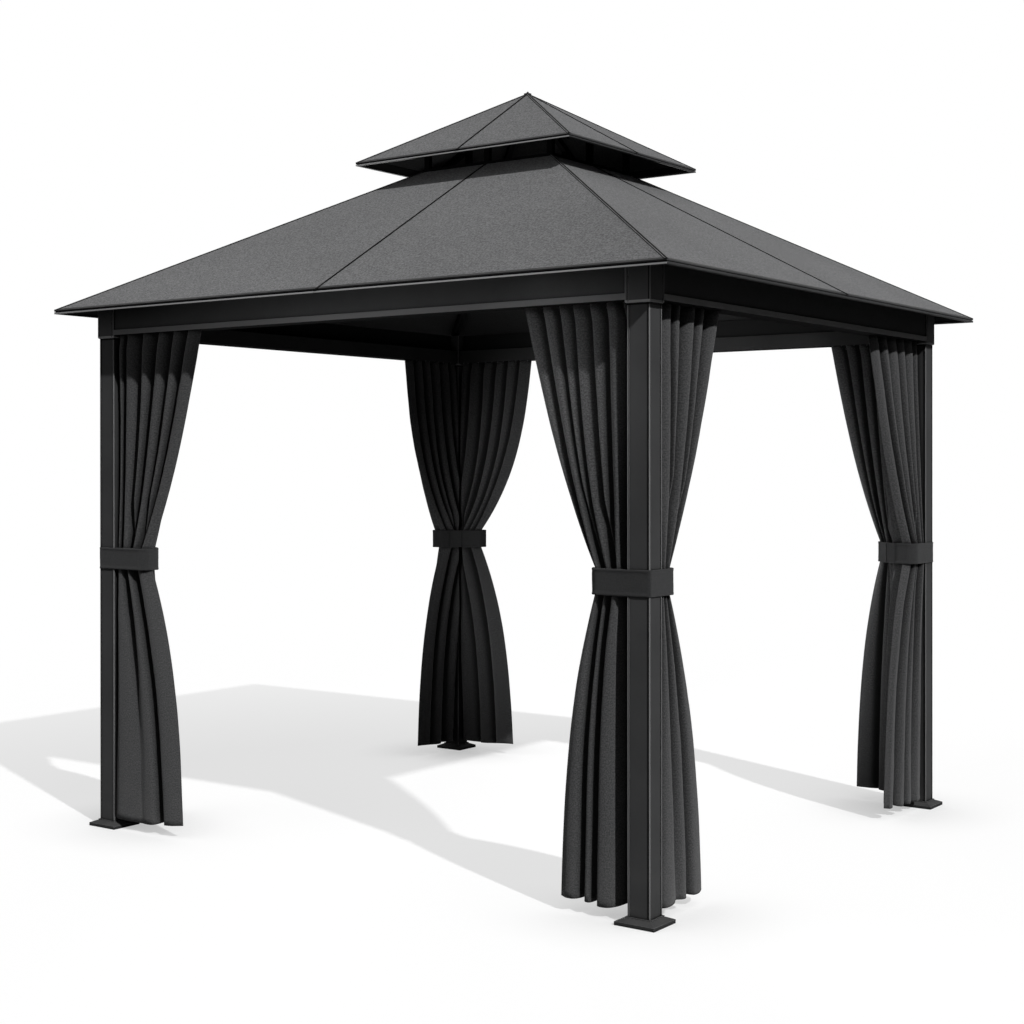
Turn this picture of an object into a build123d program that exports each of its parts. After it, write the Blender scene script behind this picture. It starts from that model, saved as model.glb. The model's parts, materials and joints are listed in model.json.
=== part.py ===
"""A square metal gazebo with a two-tier hip roof, four posts and tied-back curtains.

Lengths are millimetres. The origin is the middle of the plan on the ground, with +Z up and the
front side towards -Y. Corner pieces are made once, at the front right, and turned to the others.
"""

import os
from math import cos, pi, sqrt

from build123d import *

# Plan
roof_span = 2936
eave_overhang = 138
fit_gap = 0.2
overrun = 50
quarter_turn = 90

# Posts, drawn with a raised bead along each corner
post_width = 85
post_wall = 2
bead_width = 8
bead_height = 2

# Feet
foot_flange = 27.5
foot_rim = 13
foot_slope_height = 11
foot_collar_wall = 6
foot_collar_height = 4
foot_floor = 6

# Post-top sleeves
sleeve_wall = 6
sleeve_chamfer = 4
sleeve_cap = 4
sleeve_drop = 12
sleeve_strip = 11
sleeve_line = 3
sleeve_line_depth = 2

# Beams and curtain tracks
beam_height = 150
beam_depth = 40
beam_wall = 2.5
beam_setback = 5
lip_height = 22
track_depth = 44
track_height = 66
track_wall = 3
track_web = 10
track_slot = 3.6
track_slot_depth = 7
track_slot_spacing = 20

# Lower roof
eave_height = 2219
lower_pitch = 0.55
rafter_seat = 34
panel_thickness = 2
neck_span = 668
sheet_gap = 2
rafter_width = 30
rafter_depth = 38
rafter_tail = 20

# Roof trims
trim_height = 16
trim_ledge = 34
trim_lap = 14
trim_wall = 3
groove_height = 3
groove_depth = 4
groove_drop = 5
mitre_gap = 1
hip_cap_width = 14
seam_cap_width = 8
cap_height = 3
cap_nub = 7

# Vent frame
riser_width = 24
ring_upstand = 12
ring_flange = 4
ring_margin = 2
vent_rise = 35

# Upper roof
upper_span = 1088
upper_pitch = 0.592
upper_trim_height = 13
upper_rafter_width = 24
upper_rafter_depth = 26
hub_margin = 6
finial_width = 24
finial_height = 17
finial_level_shares = (0, 0.52, 0.66, 1)
finial_width_shares = (1, 1, 0.42, 0.12)

# Curtains
curtain_top_span = 460
curtain_waist_span = 140
curtain_hem_span = 335
curtain_depth = 70
curtain_hem_depth = 96
curtain_hem_height = 40
curtain_post_gap = 4
curtain_split = 1
pleat_count = 6
pleat_relief = 17
waist_relief = 3
bundle_round = 24

# Tie-backs
tie_bottom = 1108
tie_height = 92
tie_thickness = 3

# Curtain levels: share of the way from the tie to the hem or the top, and of the way the span opens
below_level_shares = (1, 0.72, 0.42, 0.15, 0)
below_open_shares = (1, 0.86, 0.6, 0.28, 0)
above_level_shares = (0, 0.14, 0.34, 0.62, 1)
above_open_shares = (0, 0.2, 0.43, 0.71, 1)

corner_names = ("front_right", "back_right", "back_left", "front_left")
side_names = ("front", "right", "back", "left")

# Values that follow from the sizes above
roof_half = roof_span / 2
post_half = roof_half - eave_overhang
post_centre = post_half - post_width / 2
post_inner = post_half - post_width
foot_collar_width = post_width + 2 * foot_collar_wall
foot_width = foot_collar_width + 2 * foot_flange
foot_height = foot_rim + foot_slope_height + foot_collar_height
sleeve_width = post_width + 2 * sleeve_wall + 2 * fit_gap
sleeve_inner = post_centre - sleeve_width / 2
sleeve_outer = post_centre + sleeve_width / 2
beam_outer = sleeve_outer - beam_setback
beam_inner = beam_outer - beam_depth
beam_top = eave_height + lower_pitch * (roof_half - beam_outer) - rafter_seat
beam_bottom = beam_top - beam_height
sleeve_bottom = beam_bottom - sleeve_drop
sleeve_top = beam_top
beam_length = 2 * (sleeve_inner - fit_gap)
track_outer = beam_inner - fit_gap
track_inner = track_outer - track_depth
curtain_line = (track_inner + track_outer) / 2
neck_half = neck_span / 2
upper_half = upper_span / 2
neck_height = eave_height + lower_pitch * (roof_half - neck_half)
lower_apex = eave_height + lower_pitch * roof_half
ring_depth = riser_width + ring_flange + ring_margin
hub_width = upper_rafter_width * (1 + sqrt(2)) + 2 * hub_margin
upper_eave_height = neck_height + vent_rise
upper_apex = upper_eave_height + upper_pitch * upper_half
lower_slope = sqrt(1 + lower_pitch**2)
upper_slope = sqrt(1 + upper_pitch**2)
panel_drop = panel_thickness * lower_slope
upper_panel_drop = panel_thickness * upper_slope
tie_top = tie_bottom + tie_height
curtain_top = beam_bottom - fit_gap
bundle_reach = post_inner - curtain_waist_span


def save(name, *solids):
    """Write one node as a STEP file, from one solid or from several that stand apart."""
    shape = solids[0] if len(solids) == 1 else Compound(children=list(solids))
    export_step(shape, os.path.join("parts", name + ".step"))


def turned(solid, turns):
    """Turn a front or front-right piece about the middle of the plan."""
    return Rot(0, 0, quarter_turn * turns) * solid


def all_round(make):
    """Make a piece for each of the four sides or corners."""
    return [turned(make(), turns) for turns in range(len(side_names))]


def prism(points, bottom, top):
    """Upright solid over a plan outline."""
    face = make_face(Polyline(*points, close=True))
    return extrude(Pos(0, 0, bottom) * face, amount=top - bottom, dir=(0, 0, 1))


def square(width, bottom, top):
    """Upright solid over a square plan about the origin."""
    face = Rectangle(width, width)
    return extrude(Pos(0, 0, bottom) * face, amount=top - bottom, dir=(0, 0, 1))


def pyramid(half, pitch, apex):
    """Square pyramid with its apex at a height and its base at a half span."""
    height = pitch * half
    base = Pos(0, 0, apex - height) * Rectangle(2 * half, 2 * half)
    return loft([base.face(), Vertex(0, 0, apex)])


def roof_layer(half, pitch, apex, upper, lower):
    """Layer that follows the four slopes of a roof, between two heights measured from its sheets."""
    outside = pyramid(half + overrun, pitch, apex + upper)
    inside = pyramid(half + 2 * overrun, pitch, apex + lower)
    return outside - inside


def at_corner(solid):
    """Put a piece made at the origin on the front right post."""
    return Pos(post_centre, -post_centre, 0) * solid


def foot():
    """Foot with an upright rim, four slopes and a collar round the post."""
    rim = square(foot_width, 0, foot_rim)
    slope_top = foot_rim + foot_slope_height
    low = Pos(0, 0, foot_rim) * Rectangle(foot_width, foot_width)
    high = Pos(0, 0, slope_top) * Rectangle(foot_collar_width, foot_collar_width)
    collar = square(foot_collar_width, slope_top, foot_height)
    socket = square(post_width + 2 * fit_gap, foot_floor, foot_height + overrun)
    return rim + loft([low.face(), high.face()], ruled=True) + collar - socket


def post():
    """Square tube with a bead along each corner, from the foot's floor to the sleeve's cap."""
    outside = Rectangle(post_width, post_width)
    flat = post_width - 2 * bead_width
    for turns in range(len(side_names)):
        outside -= Rot(0, 0, quarter_turn * turns) * Pos(0, post_width / 2, 0) * Rectangle(
            flat, 2 * bead_height
        )
    bore = post_width - 2 * (bead_height + post_wall)
    outside -= Rectangle(bore, bore)
    top = sleeve_top - sleeve_cap - fit_gap
    return extrude(Pos(0, 0, foot_floor) * outside, amount=top - foot_floor)


def sleeve():
    """Square sleeve over the top of a post, bevelled below, with a line beside each beam socket."""
    body = square(sleeve_width, sleeve_bottom, sleeve_top)
    body = chamfer(body.faces().sort_by(Axis.Z)[0].edges(), sleeve_chamfer)
    reach = sleeve_width / 2
    near = reach - sleeve_strip
    far = near - sleeve_line
    back = reach - sleeve_line_depth
    front = reach + overrun
    outline = ((-near, -front), (-far, -front), (-far, -back), (-near, -back))
    line = prism(outline, sleeve_bottom - overrun, sleeve_top + overrun)
    body -= [line, mirror(line, Plane((0, 0, 0), z_dir=(1, 1, 0)))]
    return body - square(post_width + 2 * fit_gap, sleeve_bottom - overrun, sleeve_top - sleeve_cap)


def bar(points, length):
    """Straight bar of the front side from a section given as distance from the middle and height."""
    section = make_face(Polyline(*[(0, -reach, height) for reach, height in points], close=True))
    return Pos(-length / 2, 0, 0) * extrude(section, amount=length, dir=(1, 0, 0))


def box_section(inner, outer, bottom, top):
    """Corners of a plain rectangular section for a bar."""
    return (inner, bottom), (outer, bottom), (outer, top), (inner, top)


def beam():
    """Hollow beam with a lip that stands forward along its bottom edge."""
    outline = (
        (beam_inner, beam_bottom),
        (sleeve_outer, beam_bottom),
        (sleeve_outer, beam_bottom + lip_height),
        (beam_outer, beam_bottom + lip_height),
        (beam_outer, beam_top),
        (beam_inner, beam_top),
    )
    hollow = box_section(
        beam_inner + beam_wall, beam_outer - beam_wall, beam_bottom + beam_wall, beam_top - beam_wall
    )
    return bar(outline, beam_length) - bar(hollow, beam_length + overrun)


def track():
    """Hollow curtain track against the inner face of a beam, with two runner slots below."""
    top = beam_bottom + track_height
    rail = bar(box_section(track_inner, track_outer, beam_bottom, top), beam_length)
    hollow = box_section(
        track_inner + track_wall, track_outer - track_wall, beam_bottom + track_web, top - track_wall
    )
    rail -= bar(hollow, beam_length + overrun)
    for way in (-1, 1):
        middle = curtain_line + way * track_slot_spacing / 2
        slot = box_section(
            middle - track_slot / 2,
            middle + track_slot / 2,
            beam_bottom - overrun,
            beam_bottom + track_slot_depth,
        )
        rail -= bar(slot, beam_length + overrun)
    return rail


def side_area(outer, inner, gap):
    """Plan outline of one sloping side of the roof, short of the hips by half a gap."""
    back = gap / 2 * sqrt(2)
    return (
        (-(outer - back), -outer),
        (outer - back, -outer),
        (inner - back, -inner),
        (-(inner - back), -inner),
    )


def half_areas(outer, inner, gap):
    """Plan outlines of the two sheets of a side, either side of its middle seam."""
    back = gap / 2 * sqrt(2)
    tip = max(inner - back, gap / 2)
    inner = tip + back
    for way in (1, -1):
        points = [
            (way * gap / 2, -outer),
            (way * (outer - back), -outer),
            (way * (inner - back), -inner),
        ]
        if tip > gap / 2:
            points.append((way * gap / 2, -inner))
        yield points


def sheets(layer, outer, inner, bottom, top):
    """The two sheets of the front side, cut from a roof layer."""
    return [
        (layer & prism(points, bottom, top)).solid()
        for points in half_areas(outer, inner, sheet_gap)
    ]


def hip_strip(outer, inner, width, bottom, top):
    """Upright strip along the front right hip, between two distances from the middle."""
    back = width / sqrt(2)
    points = (
        (inner - back, -inner),
        (outer - back, -outer),
        (outer, -outer),
        (outer, -outer + back),
        (inner, -inner + back),
        (inner, -inner),
    )
    return prism(points, bottom, top)


def middle_strip(outer, inner, width, bottom, top):
    """Upright strip along the middle of the front side, between two distances from the middle."""
    half = width / 2
    points = ((-half, -outer), (half, -outer), (half, -inner), (-half, -inner))
    return prism(points, bottom, top)


def trim(half, pitch, apex, height, drop):
    """Front eave trim: a grooved outer edge, and a ledge behind it under the sheets."""
    top = apex - pitch * half
    lap = half - trim_lap
    ledge = half - trim_ledge
    groove_top = top - groove_drop
    groove_low = groove_top - groove_height
    below = drop + fit_gap
    outline = (
        (half, top),
        (half, groove_top),
        (half - groove_depth, groove_top),
        (half - groove_depth, groove_low),
        (half, groove_low),
        (half, top - height),
        (half - trim_lap, top - height),
        (half - trim_lap, top - below - trim_wall),
        (ledge, top + pitch * trim_ledge - below - trim_wall),
        (ledge, top + pitch * trim_ledge - below),
        (lap, top + pitch * trim_lap - below),
        (lap, top + pitch * trim_lap),
    )
    area = prism(side_area(half + overrun, ledge - overrun, mitre_gap), top - overrun, apex)
    return bar(outline, 2 * half) & area


def vent_ring():
    """Front bar of the ring round the vent, mitred, with a flange that stands above the sheets."""
    outer = neck_half - fit_gap
    inner = outer - ring_depth
    low = neck_height - panel_drop - fit_gap - rafter_depth * lower_slope
    high = neck_height + ring_upstand
    outline = (
        (inner, low),
        (outer, low),
        (outer, high),
        (outer - ring_flange, high),
        (outer - ring_flange, neck_height),
        (inner, neck_height),
    )
    area = prism(side_area(neck_half + overrun, inner - overrun, mitre_gap), low, high)
    return bar(outline, neck_span) & area


def lower_rafters():
    """Rafters of the lower roof, seated on the beams and butted against the vent ring."""
    below = panel_drop + fit_gap
    layer = roof_layer(
        roof_half, lower_pitch, lower_apex, -below, -below - rafter_depth * lower_slope
    )
    low, high = beam_top + fit_gap, lower_apex
    tail = beam_outer + rafter_tail
    hips = all_round(lambda: (layer & hip_strip(tail, neck_half, rafter_width, low, high)).solid())
    mids = all_round(lambda: (layer & middle_strip(tail, neck_half, rafter_width, low, high)).solid())
    return hips + mids


def caps(half, inner, pitch, apex, lift):
    """Hip caps and seam caps of one roof tier, seated on its sheets."""
    layer = roof_layer(half, pitch, apex, lift + cap_height, lift)
    low, high = apex - pitch * (half + overrun), apex + overrun
    start = max(inner, hip_cap_width)
    hips = all_round(lambda: (layer & hip_strip(half, start, hip_cap_width, low, high)).solid())
    outer = half + cap_nub
    mids = all_round(lambda: (layer & middle_strip(outer, start, seam_cap_width, low, high)).solid())
    return hips + mids


def upper_frame():
    """Hub and rafters of the upper roof, each rafter butted against the hub."""
    below = upper_panel_drop + fit_gap
    depth = upper_rafter_depth * upper_slope
    layer = roof_layer(upper_half, upper_pitch, upper_apex, -below, -below - depth)
    low, high = upper_eave_height - overrun, upper_apex
    tail = upper_half - trim_ledge - fit_gap
    hub_low = upper_apex - below - depth - upper_pitch * hub_width / 2
    cone = pyramid(upper_half, upper_pitch, upper_apex - below)
    hub = (cone & square(hub_width, hub_low, high)).solid()
    head = hub_width / 2 + fit_gap
    wide = upper_rafter_width
    hips = all_round(lambda: (layer & hip_strip(tail, head, wide, low, high)).solid())
    mids = all_round(lambda: (layer & middle_strip(tail, head, wide, low, high)).solid())
    return [hub] + hips + mids


def risers():
    """Uprights at the corners and middles of the vent ring, up to the upper rafters."""
    below = upper_panel_drop + 2 * fit_gap + upper_rafter_depth * upper_slope
    ceiling = pyramid(upper_half + overrun, upper_pitch, upper_apex - below)
    centre = neck_half - ring_depth + riser_width / 2
    low, high = neck_height + fit_gap, upper_apex
    upright = square(riser_width, low, high)
    corners = all_round(lambda: (ceiling & (Pos(centre, -centre, 0) * upright)).solid())
    middles = all_round(lambda: (ceiling & (Pos(0, -centre, 0) * upright)).solid())
    return corners + middles


def finial():
    """Small four-sided cap on the apex of the upper roof, narrowed under its point."""
    seat = upper_apex + fit_gap - upper_pitch * finial_width / 2
    rows = []
    for rise, width in zip(finial_level_shares, finial_width_shares):
        half = finial_width * width / 2
        height = seat + finial_height * rise
        rows.append([(x * half, y * half, height) for x, y in ((1, 1), (-1, 1), (-1, -1), (1, -1))])
    return (skin(rows) - pyramid(upper_half, upper_pitch, upper_apex + fit_gap)).solid()


def skin(rows):
    """Closed solid with flat facets between successive outlines that have the same number of points."""
    faces = [make_face(Polyline(*row, close=True)).face() for row in (rows[0], rows[-1])]
    for low, high in zip(rows, rows[1:]):
        for step in range(len(low)):
            for points in (
                (low[step - 1], low[step], high[step]),
                (low[step - 1], high[step], high[step - 1]),
            ):
                faces.append(make_face(Polyline(*points, close=True)).face())
    return Solid(Shell(faces))


def mix(start, end, share):
    """Value part of the way from one size to another."""
    return start + (end - start) * share


def pleat(share, relief):
    """How far a fold stands back from the crests, at a share of the span."""
    return relief * (1 - cos(2 * pi * pleat_count * share)) / 2


def curtain_section(height, span, outer, inner, relief, waist):
    """Plan outline of a gathered curtain at one height, as distances along and out from the post."""
    start = sleeve_wall + fit_gap + curtain_post_gap
    steps = 2 * pleat_count
    front, back = [], []
    for step in range(steps + 1):
        share = step / steps
        along = mix(start, span, share)
        fold = pleat(share, relief)
        end_fold = bundle_round if step == steps else 0
        split = post_inner - along + curtain_split
        depth = max(inner + fold, split)
        if waist:
            depth = max(bundle_reach + along + fold, split)
        front.append((along, outer - fold - end_fold * (1 - waist / 2)))
        back.append((along, depth + end_fold * (1 - waist / 2)))
    return [(along, out, height) for along, out in front + back[::-1]]


def curtain_sections():
    """Outlines from the hem to the track, narrowest inside the tie-back."""
    crest = curtain_line + curtain_depth / 2
    trough = curtain_line - curtain_depth / 2
    hem_crest = curtain_line + curtain_hem_depth / 2
    hem_trough = curtain_line - curtain_hem_depth / 2
    waist_trough = bundle_reach + curtain_waist_span / 2
    rows = []
    for level, opening in zip(below_level_shares, below_open_shares):
        rows.append(
            curtain_section(
                mix(tie_bottom, curtain_hem_height, level),
                mix(curtain_waist_span, curtain_hem_span, opening),
                mix(post_half, hem_crest, opening),
                mix(waist_trough, hem_trough, opening),
                mix(waist_relief, pleat_relief, opening),
                opening == 0,
            )
        )
    for level, opening in zip(above_level_shares, above_open_shares):
        rows.append(
            curtain_section(
                mix(tie_top, curtain_top, level),
                mix(curtain_waist_span, curtain_top_span, opening),
                mix(post_half, crest, opening),
                mix(waist_trough, trough, opening),
                mix(waist_relief, pleat_relief, opening),
                opening == 0,
            )
        )
    return rows


def curtain(on_right):
    """Gathered curtain beside the front right post, on the front side or on the right side."""
    rows = []
    for row in curtain_sections():
        points = [(post_inner - along, -out, height) for along, out, height in row]
        rows.append([(-y, -x, z) for x, y, z in points] if on_right else points)
    return skin(rows)


def tie_outline(spare):
    """Plan outline of the bundle in a tie-back, grown by a margin."""
    outer = post_half + spare
    reach = bundle_reach - spare
    turn = bundle_round / 2
    inside = bundle_reach + post_inner - spare * sqrt(2)
    return (
        (outer, -outer),
        (reach + turn, -outer),
        (reach, -outer + turn),
        (reach, reach - inside),
        (inside - reach, -reach),
        (outer - turn, -reach),
        (outer, -reach - turn),
    )


def tie_back():
    """Flat band drawn round a post and its two curtains."""
    band = prism(tie_outline(fit_gap + tie_thickness), tie_bottom, tie_top)
    return band - prism(tie_outline(fit_gap), tie_bottom - overrun, tie_top + overrun)


os.makedirs("parts", exist_ok=True)

for turns, corner in enumerate(corner_names):
    save("foot_" + corner, turned(at_corner(foot()), turns))
    save("post_" + corner, turned(at_corner(post()), turns))
    save("sleeve_" + corner, turned(at_corner(sleeve()), turns))
    save("tie_back_" + corner, turned(tie_back(), turns))

lower_layer = roof_layer(roof_half, lower_pitch, lower_apex, 0, -panel_drop)
panel_reach = roof_half - trim_lap - fit_gap
front_curtain, right_curtain = curtain(False), curtain(True)
for turns, side in enumerate(side_names):
    save("beam_" + side, turned(beam(), turns))
    pair = sheets(lower_layer, panel_reach, neck_half, beam_bottom, lower_apex)
    save("roof_" + side, *[turned(sheet, turns) for sheet in pair])
    far = side_names[(turns + 1) % len(side_names)]
    save("curtain_" + side + "_" + far, turned(front_curtain, turns))
    save("curtain_" + far + "_" + side, turned(right_curtain, turns))

save("curtain_tracks", *all_round(track))
save("rafters", *lower_rafters())
save("eave_trim", *all_round(lambda: trim(roof_half, lower_pitch, lower_apex, trim_height, panel_drop)))
save("roof_caps", *caps(roof_half, neck_half, lower_pitch, lower_apex, fit_gap))
save("vent_ring", *all_round(vent_ring))
save("vent_risers", *risers())
save("upper_rafters", *upper_frame())

upper_layer = roof_layer(upper_half, upper_pitch, upper_apex, 0, -upper_panel_drop)
upper_reach = upper_half - trim_lap - fit_gap
upper_pair = sheets(upper_layer, upper_reach, 0, upper_eave_height - overrun, upper_apex)
save("upper_roof", *[turned(sheet, turns) for turns in range(len(side_names)) for sheet in upper_pair])
save(
    "upper_trim",
    *all_round(
        lambda: trim(upper_half, upper_pitch, upper_apex, upper_trim_height, upper_panel_drop)
    ),
)
save("upper_caps", *caps(upper_half, 0, upper_pitch, upper_apex, fit_gap))
save("finial", finial())
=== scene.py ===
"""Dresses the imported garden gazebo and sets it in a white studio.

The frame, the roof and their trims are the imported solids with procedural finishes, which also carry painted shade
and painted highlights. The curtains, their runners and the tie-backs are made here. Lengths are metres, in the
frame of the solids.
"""

from __future__ import annotations

import json
import logging
import math
from dataclasses import dataclass, field, fields, replace
from enum import Enum
from typing import Callable, Iterable, Sequence

import bmesh
import bpy
import numpy as np
from mathutils import Matrix, Vector, noise


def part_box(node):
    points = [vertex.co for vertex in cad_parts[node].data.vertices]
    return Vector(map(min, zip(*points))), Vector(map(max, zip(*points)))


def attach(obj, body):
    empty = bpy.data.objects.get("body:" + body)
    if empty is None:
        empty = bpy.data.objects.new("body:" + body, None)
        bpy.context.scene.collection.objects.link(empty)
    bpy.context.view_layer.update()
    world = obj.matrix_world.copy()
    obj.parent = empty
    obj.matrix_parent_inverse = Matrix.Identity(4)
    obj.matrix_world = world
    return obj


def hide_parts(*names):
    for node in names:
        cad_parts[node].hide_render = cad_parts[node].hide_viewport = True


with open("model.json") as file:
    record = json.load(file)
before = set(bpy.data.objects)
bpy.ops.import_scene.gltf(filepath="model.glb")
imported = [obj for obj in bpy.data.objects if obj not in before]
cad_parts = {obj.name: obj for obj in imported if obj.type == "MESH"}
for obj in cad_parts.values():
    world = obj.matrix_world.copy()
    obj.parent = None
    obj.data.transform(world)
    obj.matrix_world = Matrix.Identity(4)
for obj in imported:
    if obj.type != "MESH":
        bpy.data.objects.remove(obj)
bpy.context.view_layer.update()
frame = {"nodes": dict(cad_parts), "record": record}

LOG = logging.getLogger("gazebo")
Colour = tuple[float, float, float]
Place = tuple[float, float, float]
Socket = bpy.types.NodeSocket
SIDES = ("front", "right", "back", "left")
CORNERS = ("front_right", "back_right", "back_left", "front_left")


class Effect(Enum):
    """Shader effects that several finishes share, by the name of their node group."""

    GRAIN = "coat_grain"
    SOFT_EDGE = "soft_edge"
    DUST = "settled_dust"
    WEAVE = "plain_weave"
    CREVICE = "crevice_shade"


class Facing(Enum):
    """Which upright faces a band lies on, by the axis that they look along."""

    ANY = None
    ALONG_X = 0
    ALONG_Y = 1


class Pen:
    """Adds nodes to one shader tree and links them.

    Args:
        tree: The node tree to draw in.
    """

    LOOKS_ALONG = (0.6, 0.8)

    def __init__(self, tree: bpy.types.NodeTree) -> None:
        """Keep the tree."""
        self.tree = tree

    def add(self, kind: str, inputs: dict[str | int, object] | None = None, **settings: object) -> bpy.types.Node:
        """Add a node.

        Args:
            kind: The node's type without its ShaderNode prefix, or a full NodeGroup name.
            inputs: Values for its input sockets, by name or number.
            **settings: Values for its own properties.

        Returns:
            The new node.
        """
        node = self.tree.nodes.new(kind if kind.startswith("Node") else "ShaderNode" + kind)
        for key, value in settings.items():
            setattr(node, key, value)
        for key, value in (inputs or {}).items():
            self.feed(value, node.inputs[key])
        return node

    def feed(self, source: object, target: Socket) -> None:
        """Link a socket to another, or set a plain value on it.

        Args:
            source: The socket to link from, or the value.
            target: The input socket.
        """
        if isinstance(source, Socket):
            self.tree.links.new(source, target)
        else:
            target.default_value = source

    def sum(self, operation: str, *terms: object) -> Socket:
        """Work out one arithmetic step on values and return its result."""
        return self.add("Math", dict(enumerate(terms)), operation=operation).outputs[0]

    def unsigned(self, *values: object) -> list[Socket]:
        """Return values without their signs."""
        return [self.sum("ABSOLUTE", value) for value in values]

    def ramp(self, value: object, low: float, high: float, to_low: float = 0.0, to_high: float = 1.0) -> Socket:
        """Map a value from one range to another, clamped, and return the result."""
        return self.add("MapRange", {0: value, 1: low, 2: high, 3: to_low, 4: to_high}).outputs[0]

    def blend(self, share: object, first: object, second: object, mode: str = "MIX") -> Socket:
        """Mix two colours.

        Args:
            share: How much of the second colour goes in.
            first: The first colour, as a socket or a value.
            second: The second colour.
            mode: Blender's name for the way of mixing.

        Returns:
            The mixed colour.
        """
        node = self.add("Mix", data_type="RGBA", blend_type=mode)
        for number, value in ((0, share), (6, first), (7, second)):
            self.feed(rgba(value) if isinstance(value, tuple) else value, node.inputs[number])
        return node.outputs[2]

    def surface(self) -> tuple[list[Socket], list[Socket]]:
        """Find where the shaded point lies and which way its face looks.

        Returns:
            The x, y and z of the point, and of the face's direction.
        """
        geometry = self.add("NewGeometry")
        place, look = (self.add("SeparateXYZ", {0: geometry.outputs[name]}) for name in ("Position", "True Normal"))
        return list(place.outputs), list(look.outputs)

    def along(self, look: Socket) -> Socket:
        """Return a mask of the faces that look either way along an axis, from that part of their direction."""
        return self.ramp(self.sum("ABSOLUTE", look), *self.LOOKS_ALONG)


def rgba(colour: Colour) -> tuple[float, float, float, float]:
    """Return an opaque colour with its alpha."""
    return (*colour, 1.0)


def new_material(name: str, colour: Colour | None = None) -> tuple[bpy.types.Material, Pen, bpy.types.Node]:
    """Start a material.

    Args:
        name: The material's name.
        colour: Its plain colour for views without shading, if it has one.

    Returns:
        The material, its pen and its Principled shader.
    """
    made = bpy.data.materials.new(name)
    made.use_nodes = True
    if colour:
        made.diffuse_color = rgba(colour)
    return made, Pen(made.node_tree), made.node_tree.nodes["Principled BSDF"]


def put(name: str, data: bpy.types.ID) -> bpy.types.Object:
    """Make an object of a mesh, a lamp or a camera.

    Args:
        name: The object's name.
        data: What it shows.

    Returns:
        The object, linked to the scene.
    """
    made = bpy.data.objects.new(name, data)
    bpy.context.scene.collection.objects.link(made)
    return made


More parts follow.
